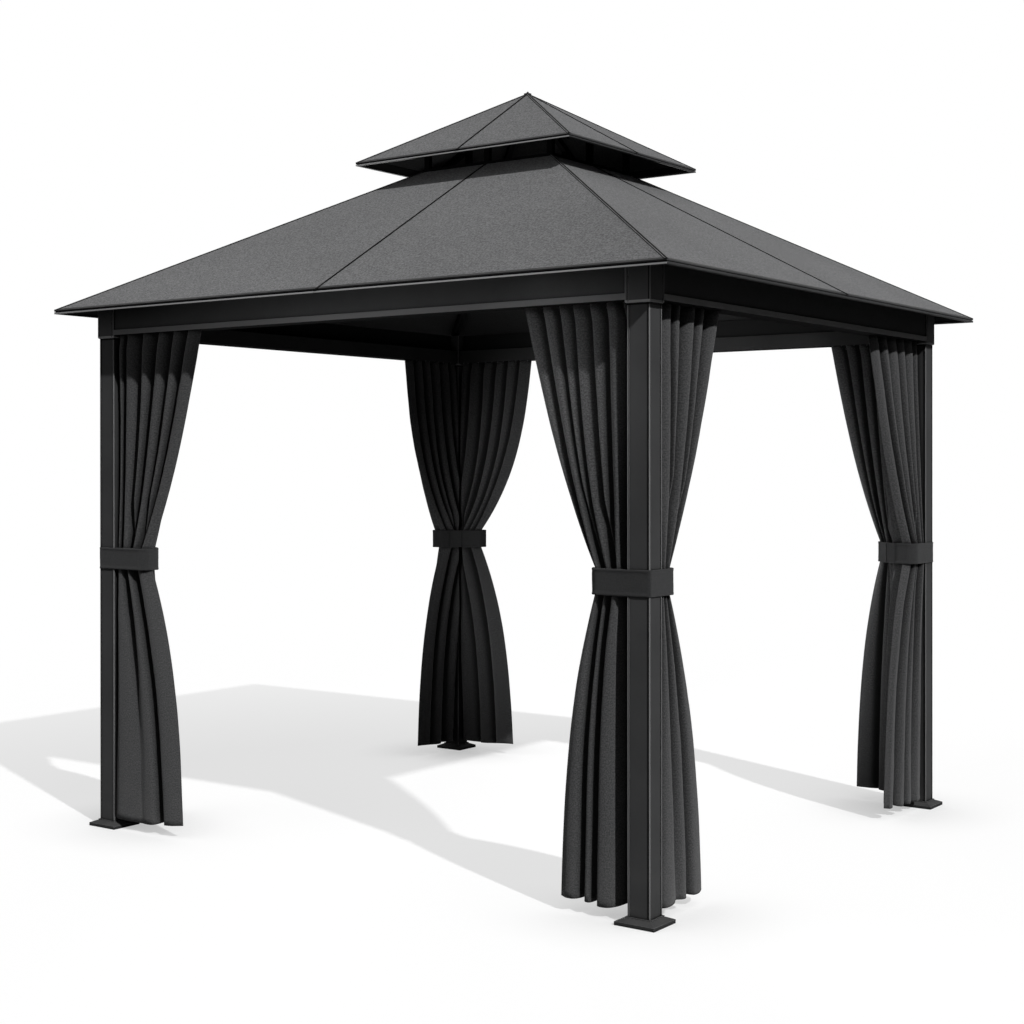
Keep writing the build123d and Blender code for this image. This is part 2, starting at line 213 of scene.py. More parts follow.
class EffectLibrary:
    """Builds each shared node group once and places it in materials."""

    FINE_SHARE, COARSE_SHARE, COARSE_SCALE = 0.3, 0.7, 0.42
    SPECKLE_RANGE, CLOUD_RANGE = (0.41, 0.59), (0.3, 0.7)
    EDGE_RANGE = (0.995, 0.8)
    LYING_RANGE, PATCH_RANGE = (0.35, 1.0), (0.35, 0.7)
    PATCH_SCALE, SPLASH_SHARE = 14.0, 0.6
    # Painted shade: how ambient occlusion turns into the joint and shelter shade masks.
    SKY_RANGES = {"Joint": (0.92, 0.42), "Shelter": (0.95, 0.35)}
    YARN_STRETCH = (330.0, 26.0)
    SLUB_RANGE, FLECK_RANGE, FLECK_SCALE = (0.42, 0.72), (0.42, 0.66), 170.0

    def __init__(self) -> None:
        """Build the groups."""
        makers: dict[Effect, Callable[[Effect], bpy.types.NodeTree]] = {
            Effect.GRAIN: self._grain,
            Effect.SOFT_EDGE: self._soft_edge,
            Effect.DUST: self._dust,
            Effect.WEAVE: self._weave,
            Effect.CREVICE: self._crevice,
        }
        self.groups = {effect: make(effect) for effect, make in makers.items()}

    def place(self, pen: Pen, effect: Effect, **values: float) -> bpy.types.Node:
        """Place a group in a material.

        Args:
            pen: The material's pen.
            effect: The group to place.
            **values: Values for its named inputs.

        Returns:
            The group node.
        """
        node = pen.add("Group")
        node.node_tree = self.groups[effect]
        for key, value in values.items():
            node.inputs[key].default_value = value
        return node

    @staticmethod
    def _new(
        effect: Effect, inputs: dict[str, float], outputs: dict[str, str]
    ) -> tuple[Pen, bpy.types.Node, bpy.types.Node]:
        """Start a group with named sockets.

        Args:
            effect: The group's effect.
            inputs: Input names with their usual values.
            outputs: Output names with their socket types, such as Float.

        Returns:
            The group's pen, its input node and its output node.
        """
        tree = bpy.data.node_groups.new(effect.value, "ShaderNodeTree")
        for name, value in inputs.items():
            socket = tree.interface.new_socket(name, in_out="INPUT", socket_type="NodeSocketFloat")
            socket.default_value = value
        for name, kind in outputs.items():
            tree.interface.new_socket(name, in_out="OUTPUT", socket_type="NodeSocket" + kind)
        pen = Pen(tree)
        return pen, pen.add("NodeGroupInput"), pen.add("NodeGroupOutput")

    def _grain(self, effect: Effect) -> bpy.types.NodeTree:
        """Draw the fine speckle and orange peel of a sprayed or sanded coat, with broad mottling.

        Args:
            effect: The group's effect.

        Returns:
            The group.
        """
        results = {"Speckle": "Float", "Peel": "Float", "Cloud": "Float"}
        pen, given, out = self._new(effect, {"Scale": 900.0, "Mottle": 3.0}, results)
        place = pen.add("TexCoord").outputs["Object"]
        coarser = pen.sum("MULTIPLY", given.outputs["Scale"], self.COARSE_SCALE)
        fine, coarse, cloud = (
            pen.add("TexNoise", {"Vector": place, "Scale": scale, "Detail": detail, "Roughness": rough}).outputs[0]
            for scale, detail, rough in (
                (given.outputs["Scale"], 2.0, 0.7),
                (coarser, 3.0, 0.6),
                (given.outputs["Mottle"], 4.0, 0.55),
            )
        )
        shares = ((fine, self.FINE_SHARE), (coarse, self.COARSE_SHARE))
        both = pen.sum("ADD", *(pen.sum("MULTIPLY", value, share) for value, share in shares))
        pen.feed(pen.ramp(both, *self.SPECKLE_RANGE), out.inputs["Speckle"])
        pen.feed(both, out.inputs["Peel"])
        pen.feed(pen.ramp(cloud, *self.CLOUD_RANGE), out.inputs["Cloud"])
        return pen.tree

    def _soft_edge(self, effect: Effect) -> bpy.types.NodeTree:
        """Draw the rounded corners of folded and cast metal, and a mask of the corners themselves for a painted
        highlight.

        Args:
            effect: The group's effect.

        Returns:
            The group.
        """
        pen, given, out = self._new(effect, {"Radius": 0.0015}, {"Normal": "Vector", "Edge": "Float"})
        bevel = pen.add("Bevel", {"Radius": given.outputs["Radius"]}, samples=6).outputs[0]
        true = pen.add("NewGeometry").outputs["True Normal"]
        along = pen.add("VectorMath", {0: bevel, 1: true}, operation="DOT_PRODUCT").outputs["Value"]
        pen.feed(bevel, out.inputs["Normal"])
        pen.feed(pen.ramp(along, *self.EDGE_RANGE), out.inputs["Edge"])
        return pen.tree

    def _dust(self, effect: Effect) -> bpy.types.NodeTree:
        """Draw pale dust that lies thinly on faces that look up, and a little near the ground.

        Args:
            effect: The group's effect.

        Returns:
            The group.
        """
        pen, given, out = self._new(effect, {"Amount": 0.2, "Reach": 0.25}, {"Mask": "Float"})
        geometry = pen.add("NewGeometry")
        upright = pen.add("SeparateXYZ", {0: geometry.outputs["Normal"]}).outputs[2]
        height = pen.add("SeparateXYZ", {0: geometry.outputs["Position"]}).outputs[2]
        low = pen.sum("SUBTRACT", 1.0, pen.sum("DIVIDE", height, given.outputs["Reach"]))
        place = pen.add("TexCoord").outputs["Object"]
        patch = pen.add("TexNoise", {"Vector": place, "Scale": self.PATCH_SCALE, "Detail": 5.0}).outputs[0]
        splash = pen.sum("MULTIPLY", pen.ramp(low, 0.0, 1.0), self.SPLASH_SHARE)
        lying = pen.sum("MAXIMUM", pen.ramp(upright, *self.LYING_RANGE), splash)
        patchy = pen.sum("MULTIPLY", lying, pen.ramp(patch, *self.PATCH_RANGE))
        pen.feed(pen.sum("MULTIPLY", patchy, given.outputs["Amount"]), out.inputs["Mask"])
        return pen.tree

    def _crevice(self, effect: Effect) -> bpy.types.NodeTree:
        """Draw masks of painted shade: in narrow joints and inner corners, and on faces sheltered by overhangs.

        Args:
            effect: The group's effect.

        Returns:
            The group.
        """
        reaches = {"Joint": 0.018, "Shelter": 0.2}
        pen, given, out = self._new(effect, reaches, {name: "Float" for name in reaches})
        for name, sky_range in self.SKY_RANGES.items():
            sky = pen.add("AmbientOcclusion", {"Distance": given.outputs[name]}, samples=6).outputs["AO"]
            pen.feed(pen.ramp(sky, *sky_range), out.inputs[name])
        return pen.tree

    def _weave(self, effect: Effect) -> bpy.types.NodeTree:
        """Draw a plain weave in the cloth's own flat metres, with slubs and a pale fleck.

        Args:
            effect: The group's effect.

        Returns:
            The group.
        """
        results = {"Height": "Float", "Tone": "Float", "Fleck": "Float"}
        pen, given, out = self._new(effect, {"Threads": 900.0, "Slub": 0.5}, results)
        flat = pen.add("TexCoord").outputs["UV"]
        parts = pen.add("SeparateXYZ", {0: flat}).outputs
        turns = pen.sum("MULTIPLY", given.outputs["Threads"], math.pi)
        warp, weft = (pen.sum("SINE", pen.sum("MULTIPLY", parts[number], turns)) for number in (0, 1))
        over = pen.ramp(pen.sum("MULTIPLY", warp, weft), -1.0, 1.0)
        yarns = []
        for stretch in (self.YARN_STRETCH, self.YARN_STRETCH[::-1]):
            long = pen.add("VectorMath", {0: flat, 1: (*stretch, 1.0)}, operation="MULTIPLY").outputs[0]
            yarns.append(pen.add("TexNoise", {"Vector": long, "Scale": 1.0, "Detail": 2.0}).outputs[0])
        slub = pen.ramp(pen.sum("MAXIMUM", *yarns), *self.SLUB_RANGE)
        grain = {"Vector": flat, "Scale": self.FLECK_SCALE, "Detail": 3.0, "Roughness": 0.7}
        fleck = pen.add("TexNoise", grain).outputs[0]
        pen.feed(pen.sum("MULTIPLY_ADD", slub, given.outputs["Slub"], over), out.inputs["Height"])
        pen.feed(slub, out.inputs["Tone"])
        pen.feed(pen.ramp(fleck, *self.FLECK_RANGE), out.inputs["Fleck"])
        return pen.tree


@dataclass(frozen=True)
class CoatFinish:
    """Sprayed coat on metal: speckled, slightly peeled, softer at the corners and a little dusty, with a painted
    highlight along its corners and painted shade in joints, under overhangs and on faces that look down.
    """

    name: str
    colour: Colour
    fleck: Colour
    # Painted highlight: the colour that the corners are lightened towards, and how far.
    edge: Colour
    roughness: tuple[float, float] = (0.62, 0.8)
    specular: float = 0.02
    grain: float = 900.0
    mottle: float = 3.0
    cloud: float = 0.12
    fleck_share: float = 0.35
    edge_share: float = 0.7
    radius: float = 0.0026
    dust: float = 0.12
    dust_colour: Colour = (0.30, 0.29, 0.275)
    dust_dulls: float = 0.5
    bump: float = 0.12
    depth: float = 0.0006
    # Painted shade: how strongly joints and overhung faces are darkened, and the near-black they are darkened
    # towards.
    joint: float = 0.85
    shelter: float = 0.3
    grime: Colour = (0.002, 0.002, 0.002)
    # Painted shade: the colour that faces looking down are darkened towards, and over which downward looks.
    under: Colour = (0.034, 0.0342, 0.0348)
    under_looks: tuple[float, float] = (-0.75, -0.9)
    matt: float = 0.0

    def _marks(self, pen: Pen) -> list[tuple[Socket, Colour]]:
        """List the masks of the coat's own markings, each with its colour."""
        return []

    def material(self, effects: EffectLibrary) -> bpy.types.Material:
        """Build the coat.

        Args:
            effects: The shared node groups.

        Returns:
            The material.
        """
        made, pen, shader = new_material(self.name, self.colour)
        grain = effects.place(pen, Effect.GRAIN, Scale=self.grain, Mottle=self.mottle).outputs
        edge = effects.place(pen, Effect.SOFT_EDGE, Radius=self.radius).outputs
        dust = effects.place(pen, Effect.DUST, Amount=self.dust).outputs["Mask"]
        painted_shade_masks = effects.place(pen, Effect.CREVICE).outputs
        colour = pen.blend(pen.sum("MULTIPLY", grain["Speckle"], self.fleck_share), self.colour, self.fleck)
        shade = pen.ramp(grain["Cloud"], 0.0, 1.0, 1.0 - self.cloud, 1.0 + self.cloud)
        colour = pen.blend(1.0, colour, shade, "MULTIPLY")
        # Painted highlight along the corners.
        colour = pen.blend(pen.sum("MULTIPLY", edge["Edge"], self.edge_share), colour, self.edge)
        for mask, tone in self._marks(pen):
            colour = pen.blend(mask, colour, tone)
        colour = pen.blend(dust, colour, self.dust_colour)
        # Painted shade on faces that look down.
        upright = pen.add("SeparateXYZ", {0: pen.add("NewGeometry").outputs["Normal"]}).outputs[2]
        colour = pen.blend(pen.ramp(upright, *self.under_looks), colour, self.under)
        # Painted shade in joints, inner corners and under overhangs, from ambient occlusion.
        for name, share in (("Shelter", self.shelter), ("Joint", self.joint)):
            colour = pen.blend(pen.sum("MULTIPLY", painted_shade_masks[name], share), colour, self.grime)
        rough = pen.ramp(grain["Speckle"], 0.0, 1.0, *self.roughness)
        rough = pen.sum("ADD", rough, pen.sum("MULTIPLY", dust, self.dust_dulls))
        bump = pen.add("Bump", {"Strength": self.bump, "Distance": self.depth, "Height": grain["Peel"]})
        pen.feed(edge["Normal"], bump.inputs["Normal"])
        pen.feed(colour, shader.inputs["Base Color"])
        pen.feed(rough, shader.inputs["Roughness"])
        pen.feed(bump.outputs[0], shader.inputs["Normal"])
        shader.inputs["Specular IOR Level"].default_value = self.specular
        shader.inputs["Diffuse Roughness"].default_value = self.matt
        return made


@dataclass(frozen=True)
class Band:
    """A level band of another tone on upright faces."""

    low: float
    high: float
    tone: Colour
    facing: Facing = Facing.ANY


@dataclass(frozen=True)
class BandedCoat(CoatFinish):
    """Coat with bands, all of them further from the middle of the plan than one distance."""

    bands: tuple[Band, ...] = ()
    beyond: float = 0.0
    band_blur: float = 0.0003

    def _marks(self, pen: Pen) -> list[tuple[Socket, Colour]]:
        """List the bands.

        Args:
            pen: The material's pen.

        Returns:
            Each band's mask with its colour.
        """
        (x, y, height), look = pen.surface()
        outside = pen.sum("GREATER_THAN", pen.sum("MAXIMUM", *pen.unsigned(x, y)), self.beyond)
        marks = []
        for band in self.bands:
            start = pen.ramp(height, band.low - self.band_blur, band.low + self.band_blur)
            stop = pen.ramp(height, band.high + self.band_blur, band.high - self.band_blur)
            mask = pen.sum("MULTIPLY", pen.sum("MULTIPLY", start, stop), outside)
            if band.facing is not Facing.ANY:
                mask = pen.sum("MULTIPLY", mask, pen.along(look[band.facing.value]))
            marks.append((mask, band.tone))
        return marks


@dataclass(frozen=True)
class BeamCoat(BandedCoat):
    """Coat of a beam: banded outside, with painted light along the two sides that look along x and painted shade on
    its inner faces.
    """

    skin: float = 0.0
    # Painted shade on the inner faces, and painted light along the flanks that look along x.
    inside: Colour = (0.026, 0.0261, 0.0266)
    flank: Colour = (0.105, 0.1055, 0.107)

    def _marks(self, pen: Pen) -> list[tuple[Socket, Colour]]:
        """List the painted light on the flanks, the bands and the painted shade on the inner faces.

        Args:
            pen: The material's pen.

        Returns:
            Each marking's mask with its colour.
        """
        place, look = pen.surface()
        inner = pen.sum("LESS_THAN", pen.sum("MAXIMUM", *pen.unsigned(*place[:2])), self.skin)
        # Painted light on the flanks and painted shade on the inner faces.
        return [(pen.along(look[0]), self.flank), *super()._marks(pen), (inner, self.inside)]


@dataclass(frozen=True)
class CorneredCoat(BandedCoat):
    """Coat of an upright square section, with a painted highlight along its corners and a painted shadow line
    beside the front ones.
    """

    centre: float = 0.0
    half: float = 0.0
    # Painted highlight along the corners, and painted shadow beside the front ones.
    light: Colour = (0.2, 0.201, 0.203)
    dark: Colour = (0.006, 0.006, 0.0062)
    width: float = 0.0034
    groove: float = 0.005
    line_blur: float = 0.0004

    def _marks(self, pen: Pen) -> list[tuple[Socket, Colour]]:
        """List the lines along the corners and the bands.

        Args:
            pen: The material's pen.

        Returns:
            Each marking's mask with its colour.
        """
        place, look = pen.surface()
        x, y = (pen.sum("SUBTRACT", value, self.centre) for value in pen.unsigned(*place[:2]))
        near = pen.sum("MINIMUM", *pen.unsigned(x, y))
        outer = self.half - self.width
        inner = outer - self.groove
        # Painted shadow line beside the corners, on faces that look along y.
        groove = pen.ramp(x, inner - self.line_blur, inner + self.line_blur)
        corner = pen.ramp(near, outer - self.line_blur, outer + self.line_blur)
        beside = pen.sum("MULTIPLY", groove, pen.along(look[1]))
        return [(beside, self.dark), (corner, self.light), *super()._marks(pen)]


@dataclass(frozen=True)
class CrestedCoat(CoatFinish):
    """Coat of the roof caps, with a dark line along the middle of each cap and painted shade on the caps' upright
    sides.
    """

    line: float = 0.004
    line_blur: float = 0.0004
    edge_looks: tuple[float, float] = (0.6, 0.4)
    dark: Colour = (0.006, 0.006, 0.0062)

    def _marks(self, pen: Pen) -> list[tuple[Socket, Colour]]:
        """List the line along the hips and the middles of the sides, with the painted shade on the caps' upright
        sides.

        Args:
            pen: The material's pen.

        Returns:
            The mask of both with their colour.
        """
        place, look = pen.surface()
        x, y = pen.unsigned(*place[:2])
        hip = pen.sum("MULTIPLY", pen.sum("ABSOLUTE", pen.sum("SUBTRACT", x, y)), math.sqrt(0.5))
        near = pen.sum("MINIMUM", hip, pen.sum("MINIMUM", x, y))
        crest = pen.ramp(near, self.line + self.line_blur, self.line - self.line_blur)
        # Painted shade on the caps' upright sides, with the dark line along the middle.
        return [(pen.sum("MAXIMUM", crest, pen.ramp(look[2], *self.edge_looks)), self.dark)]


@dataclass(frozen=True)
class ClothFinish:
    """Woven outdoor cloth with a soft nap, and painted shade in its deep creases."""

    name: str
    yarn: Colour
    slub: Colour
    fleck: Colour
    threads: float = 900.0
    slub_share: float = 0.5
    fleck_share: float = 0.45
    roughness: float = 0.92
    specular: float = 0.05
    sheen: float = 0.06
    sheen_roughness: float = 0.5
    bump: float = 0.35
    depth: float = 0.0007
    dust: float = 0.1
    dust_reach: float = 0.35
    dust_colour: Colour = (0.26, 0.25, 0.24)
    # Painted shade: how far the crease darkening reaches, how strongly, and its near-black colour.
    crease: float = 0.05
    crease_share: float = 0.8
    crease_colour: Colour = (0.003, 0.003, 0.003)

    def material(self, effects: EffectLibrary) -> bpy.types.Material:
        """Build the cloth.

        Args:
            effects: The shared node groups.

        Returns:
            The material.
        """
        made, pen, shader = new_material(self.name, self.yarn)
        weave = effects.place(pen, Effect.WEAVE, Threads=self.threads).outputs
        dust = effects.place(pen, Effect.DUST, Amount=self.dust, Reach=self.dust_reach).outputs["Mask"]
        crease_shade = effects.place(pen, Effect.CREVICE, Joint=self.crease).outputs["Joint"]
        colour = pen.blend(pen.sum("MULTIPLY", weave["Tone"], self.slub_share), self.yarn, self.slub)
        colour = pen.blend(pen.sum("MULTIPLY", weave["Fleck"], self.fleck_share), colour, self.fleck)
        colour = pen.blend(dust, colour, self.dust_colour)
        # Painted shade in the deep creases.
        colour = pen.blend(pen.sum("MULTIPLY", crease_shade, self.crease_share), colour, self.crease_colour)
        bump = pen.add("Bump", {"Strength": self.bump, "Distance": self.depth, "Height": weave["Height"]})
        pen.feed(colour, shader.inputs["Base Color"])
        pen.feed(bump.outputs[0], shader.inputs["Normal"])
        shader.inputs["Roughness"].default_value = self.roughness
        shader.inputs["Specular IOR Level"].default_value = self.specular
        shader.inputs["Diffuse Roughness"].default_value = 1.0
        shader.inputs["Sheen Weight"].default_value = self.sheen
        shader.inputs["Sheen Roughness"].default_value = self.sheen_roughness
        return made


@dataclass(frozen=True)
class NylonFinish:
    """Moulded dark nylon of the curtain runners."""

    name: str = "runner_nylon"
    colour: Colour = (0.03, 0.031, 0.033)
    cloud: Colour = (0.05, 0.05, 0.052)
    grain: float = 1500.0
    mottle: float = 40.0
    roughness: tuple[float, float] = (0.38, 0.55)

    def material(self, effects: EffectLibrary) -> bpy.types.Material:
        """Build the nylon.

        Args:
            effects: The shared node groups.

        Returns:
            The material.
        """
        made, pen, shader = new_material(self.name)
        grain = effects.place(pen, Effect.GRAIN, Scale=self.grain, Mottle=self.mottle).outputs
        pen.feed(pen.blend(grain["Cloud"], self.colour, self.cloud), shader.inputs["Base Color"])
        pen.feed(pen.ramp(grain["Speckle"], 0.0, 1.0, *self.roughness), shader.inputs["Roughness"])
        return made


class Finishes:
    """All finishes of the gazebo, built once."""

    FRAME = CoatFinish("frame_coat", (0.049, 0.0493, 0.0502), (0.067, 0.0674, 0.0685), (0.26, 0.261, 0.264))
    # Painted shade: a slightly darker copy of the frame coat, with less highlight, for the parts under the roof.
    INNER = replace(
        FRAME,
        name="inner_coat",
        colour=(0.045, 0.0452, 0.0458),
        fleck=(0.057, 0.0572, 0.058),
        edge_share=0.1,
        specular=0.0,
    )
    # Painted shade: a near-black copy for the vent and the rafters under the upper roof.
    VENT = replace(
        INNER, name="vent_coat", colour=(0.007, 0.007, 0.0072), fleck=(0.011, 0.011, 0.0113), edge_share=0.05
    )
    ROOF = CoatFinish(
        "roof_coat",
        (0.08, 0.0805, 0.0825),
        (0.23, 0.231, 0.234),
        (0.2, 0.2, 0.203),
        roughness=(0.7, 0.9),
        specular=0.03,
        grain=300.0,
        joint=0.3,
        mottle=1.6,
        cloud=0.06,
        fleck_share=0.6,
        edge_share=0.3,
        dust=0.05,
        bump=0.4,
        depth=0.0014,
        shelter=0.2,
        matt=1.0,
    )
    CURTAIN = ClothFinish("curtain_cloth", (0.046, 0.0464, 0.0475), (0.076, 0.0764, 0.0776), (0.16, 0.16, 0.162))
    TIE = ClothFinish(
        "tie_cloth",
        (0.035, 0.0353, 0.0361),
        (0.05, 0.0503, 0.0513),
        (0.07, 0.0703, 0.0715),
        threads=520.0,
        fleck_share=0.2,
    )
    RUNNER = NylonFinish()
    # Painted light: the sleeves and the beams wear lighter copies of the frame coat.
    SLEEVE_SHARE, BEAM_SHARE = 1.6, 1.3
    # Painted shadow under the sleeves, and a painted highlight on the sleeves' bottom edge.
    GAP_TONE, RIM_TONE = (0.003, 0.003, 0.003), (0.34, 0.341, 0.344)
    # Painted light: the beam lips are paler, more so on the sides than at the front.
    LIP_SIDE_TONE, LIP_FRONT_TONE = (0.36, 0.361, 0.364), (0.17, 0.171, 0.173)
    TRIM_COLOURS = (0.044, 0.0443, 0.0452), (0.06, 0.0604, 0.0616), (0.15, 0.151, 0.153)
    # Painted shade across the trims' front and back faces, and a painted highlight along their bottom edge.
    TRIM_DARK, TRIM_LIGHT = (0.012, 0.0121, 0.0124), (0.3, 0.301, 0.304)
    # Heights of the painted bands: the shadow under the sleeves, the sleeve rim highlight, the lip light and the
    # trim shade and highlight.
    SHADOW_GAP, RIM, LIP, TRIM_LINE, TRIM_FACE = 0.007, 0.009, 0.022, 0.006, 0.03
    OVERRUN, SLEEVE_STEP, BEAM_WALL = 0.001, 0.003, 0.006
    # Painted shade in the joints of the roof caps, weaker than elsewhere.
    CAP_JOINT = 0.1

    def __init__(self, effects: EffectLibrary) -> None:
        """Build the plain finishes and those with markings.

        Args:
            effects: The shared node groups.
        """
        self.frame = self.FRAME.material(effects)
        self.roof = self.ROOF.material(effects)
        self.curtain = self.CURTAIN.material(effects)
        self.tie = self.TIE.material(effects)
        self.runner = self.RUNNER.material(effects)
        marked = self._frame_coats() | self._roof_coats()
        self.by_kind = {start: finish.material(effects) for start, finish in marked.items()}

    def _paler(self, share: float) -> dict[str, Colour]:
        """Return the frame's colours by name, each multiplied by a share, which paints extra light where it is
        above one.
        """
        colours = {name: getattr(self.FRAME, name) for name in ("colour", "fleck", "edge")}
        return {name: tuple(share * value for value in colour) for name, colour in colours.items()}

    def _frame_coats(self) -> dict[str, CoatFinish]:
        """List the coats of the posts, the sleeves and the beams.

        Returns:
            Each coat by the start of the names of the solids that wear it.
        """
        post_low, post_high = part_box("post_front_right")
        sleeve_low, sleeve_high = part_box("sleeve_front_right")
        centre, skirt = (post_low.x + post_high.x) / 2, sleeve_low.z
        # Painted shadow: a near-black band on the posts just under the sleeves, and a painted highlight round the
        # sleeves' bottom edge.
        sleeve_shadow = Band(skirt - self.SHADOW_GAP, skirt, self.GAP_TONE)
        rim_highlight = Band(skirt - self.OVERRUN, skirt + self.RIM, self.RIM_TONE)
        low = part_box("beam_front")[0].z
        # Painted light on the beam lips, paler on the side faces than on the front and back ones.
        painted_lit_lips = tuple(
            Band(low - self.OVERRUN, low + self.LIP, tone, facing)
            for tone, facing in ((self.LIP_SIDE_TONE, Facing.ALONG_X), (self.LIP_FRONT_TONE, Facing.ALONG_Y))
        )
        skin = sleeve_high.x - self.SLEEVE_STEP
        # Painted light: lighter copies of the frame coat for the sleeves and the beams.
        plain, sleeve_painted_light, beam_painted_light = (self._paler(share) for share in (1.0, self.SLEEVE_SHARE, self.BEAM_SHARE))
        beam = {"specular": 0.0, "bands": painted_lit_lips, "beyond": skin, "skin": skin - self.BEAM_WALL}
        return {
            "post_": CorneredCoat("post_coat", **plain, bands=(sleeve_shadow,), centre=centre, half=post_high.x - centre),
            "sleeve_": CorneredCoat("sleeve_coat", **sleeve_painted_light, bands=(rim_highlight,), centre=centre, half=sleeve_high.x - centre),
            "beam_": BeamCoat("beam_coat", **beam_painted_light, **beam),
        }

    def _roof_coats(self) -> dict[str, CoatFinish]:
        """List the coats under the roof and of its caps and trims.

        Returns:
            Each coat by the start of the names of the solids that wear it.
        """
        coats: dict[str, CoatFinish] = {
            "rafters": self.INNER,
            "curtain_tracks": replace(self.INNER, name="track_coat"),
            "upper_rafters": self.VENT,
            "vent_": replace(self.VENT, name="vent_frame_coat"),
        }
        roof = {item.name: getattr(self.ROOF, item.name) for item in fields(CoatFinish)}
        for node, name in (("roof_caps", "roof_cap_coat"), ("upper_caps", "upper_cap_coat")):
            coats[node] = CrestedCoat(**(roof | {"name": name, "joint": self.CAP_JOINT}))
        for node in ("eave_trim", "upper_trim"):
            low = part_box(node)[0].z
            line = low + self.TRIM_LINE
            # Painted shade and a painted highlight on the trims' faces that look along y.
            bands = (
                Band(line, low + self.TRIM_FACE, self.TRIM_DARK, Facing.ALONG_Y),
                Band(low - self.OVERRUN, line, self.TRIM_LIGHT, Facing.ALONG_Y),
            )
            coats[node] = BandedCoat(node + "_coat", *self.TRIM_COLOURS, edge_share=0.4, shelter=0.2, bands=bands)
        return coats

    def dress_solids(self) -> None:
        """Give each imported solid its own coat, or the finish of its material slot in the record."""
        by_slot = {
            "frame_paint": self.frame,
            "trim_paint": self.frame,
            "roof_sheet": self.roof,
            "curtain_cloth": self.curtain,
            "tie_cloth": self.tie,
        }
        for part in frame["record"]["subparts"]:
            name = part["node"]
            solid = frame["nodes"][name]
            solid.data.materials.clear()
            marked = [made for start, made in self.by_kind.items() if name.startswith(start)]
            solid.data.materials.append(marked[0] if marked else by_slot[part["material_slot"]])


def turned(points: np.ndarray, turn: int, mirrored: bool = False) -> np.ndarray:
    """Move points made at the front right corner to another corner.

    Args:
        points: Rows of x, y and z.
        turn: Quarter turns about the middle of the plan.
        mirrored: Whether to swap to the other side of the corner first.

    Returns:
        The moved points.
    """
    x, y, z = points.T
    if mirrored:
        x, y = -y, -x
    for _ in range(turn):
        x, y = -y, x
    return np.column_stack((x, y, z))


def mesh_piece(
    name: str, points: np.ndarray, faces: Sequence[Sequence[int]], flat: np.ndarray | None = None
) -> bpy.types.Object:
    """Make a smooth-shaded mesh object.

    Args:
        name: The piece's name.
        points: Rows of x, y and z.
        faces: Point numbers of each face.
        flat: For each point, where it lies on the flat cut, in metres.

    Returns:
        The object, linked to the scene.
    """
    mesh = bpy.data.meshes.new(name)
    mesh.from_pydata([tuple(point) for point in points.tolist()], [], [tuple(face) for face in faces])
    mesh.update()
    mesh.polygons.foreach_set("use_smooth", [True] * len(mesh.polygons))
    if flat is not None:
        layer = mesh.uv_layers.new(name="flat")
        corner = np.zeros(len(mesh.loops), np.int32)
        mesh.loops.foreach_get("vertex_index", corner)
        layer.data.foreach_set("uv", flat[corner].astype(np.float32).ravel())
    return put(name, mesh)


def grid_faces(rows: int, columns: int, close: bool = False) -> list[tuple[int, int, int, int]]:
    """List the quads of a grid of points.

    Args:
        rows: Number of rows.
        columns: Points in each row.
        close: Whether each row joins up with its own start.

    Returns:
        Four point numbers for each quad.
    """
    faces = []
    for row in range(rows - 1):
        here, beyond = row * columns, (row + 1) * columns
        for column in range(columns if close else columns - 1):
            after = (column + 1) % columns
            faces.append((here + column, here + after, beyond + after, beyond + column))
    return faces


def smooth_step(value: np.ndarray, low: float, high: float) -> np.ndarray:
    """Return an eased share of the way from one value to another."""
    share = np.clip((value - low) / (high - low), 0.0, 1.0)
    return share * share * (3.0 - 2.0 * share)


def bulged(share: np.ndarray, bulge: float) -> np.ndarray:
    """Return a share of the way that runs ahead by a bulge, from 0, none, to 1."""
    return bulge * (1 - (1 - share) ** 3) + (1 - bulge) * share


def run_lengths(path: np.ndarray) -> np.ndarray:
    """Return how far along a path each of its points lies."""
    return np.concatenate(([0], np.cumsum(np.linalg.norm(np.diff(path, axis=0), axis=1))))


@dataclass
class Plan:
    """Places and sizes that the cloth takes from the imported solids."""

    post_inner: float
    post_outer: float
    track_line: float
    track_bottom: float
    sleeve_bottom: float
    tie_bottom: float
    tie_top: float

    @property
    def tie_height(self) -> float:
        """Return how tall the ties are."""
        return self.tie_top - self.tie_bottom

    @classmethod
    def from_frame(cls, track_half: float = 0.022) -> Plan:
        """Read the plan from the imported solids.

        Args:
            track_half: Half the depth of a track.

        Returns:
            The plan.
        """
        post_low, post_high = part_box("post_front_right")
        tie_low, tie_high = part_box("tie_back_front_right")
        track_low, track_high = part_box("curtain_tracks")
        return cls(
            post_inner=post_low.x,
            post_outer=post_high.x,
            track_line=track_high.x - track_half,
            track_bottom=track_low.z,
            sleeve_bottom=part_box("sleeve_front_right")[0].z,
            tie_bottom=tie_low.z,
            tie_top=tie_high.z,
        )


@dataclass(frozen=True)
class Fold:
    """One fold: its share of the width and the level of the crease before it, tied and open, and its crest.

    Levels run from -1, the deepest, to 1, the outermost.
    """

    tied: float
    open: float
    crease: tuple[float, float] = (-0.9, -0.9)
    crest: float = 0.92


@dataclass(frozen=True)
class Gather:
    """How one curtain hangs: its folds from the post to the free edge, above and below the tie, and its spreads."""

    above: tuple[Fold, ...]
    below: tuple[Fold, ...]
    seed: int
    top_span: float = 0.46
    hem_span: float = 0.335
    edge: float = 0.3
    bulge: float = 0.25
    forward: tuple[float, float] = (0.0, 0.0)
    inward: bool = False


@dataclass(frozen=True)
class Bundle:
    """One post's two gathered curtains and how far the tie lets each of them reach from the post."""

    first: Gather
    second: Gather
    reach: tuple[float, float]


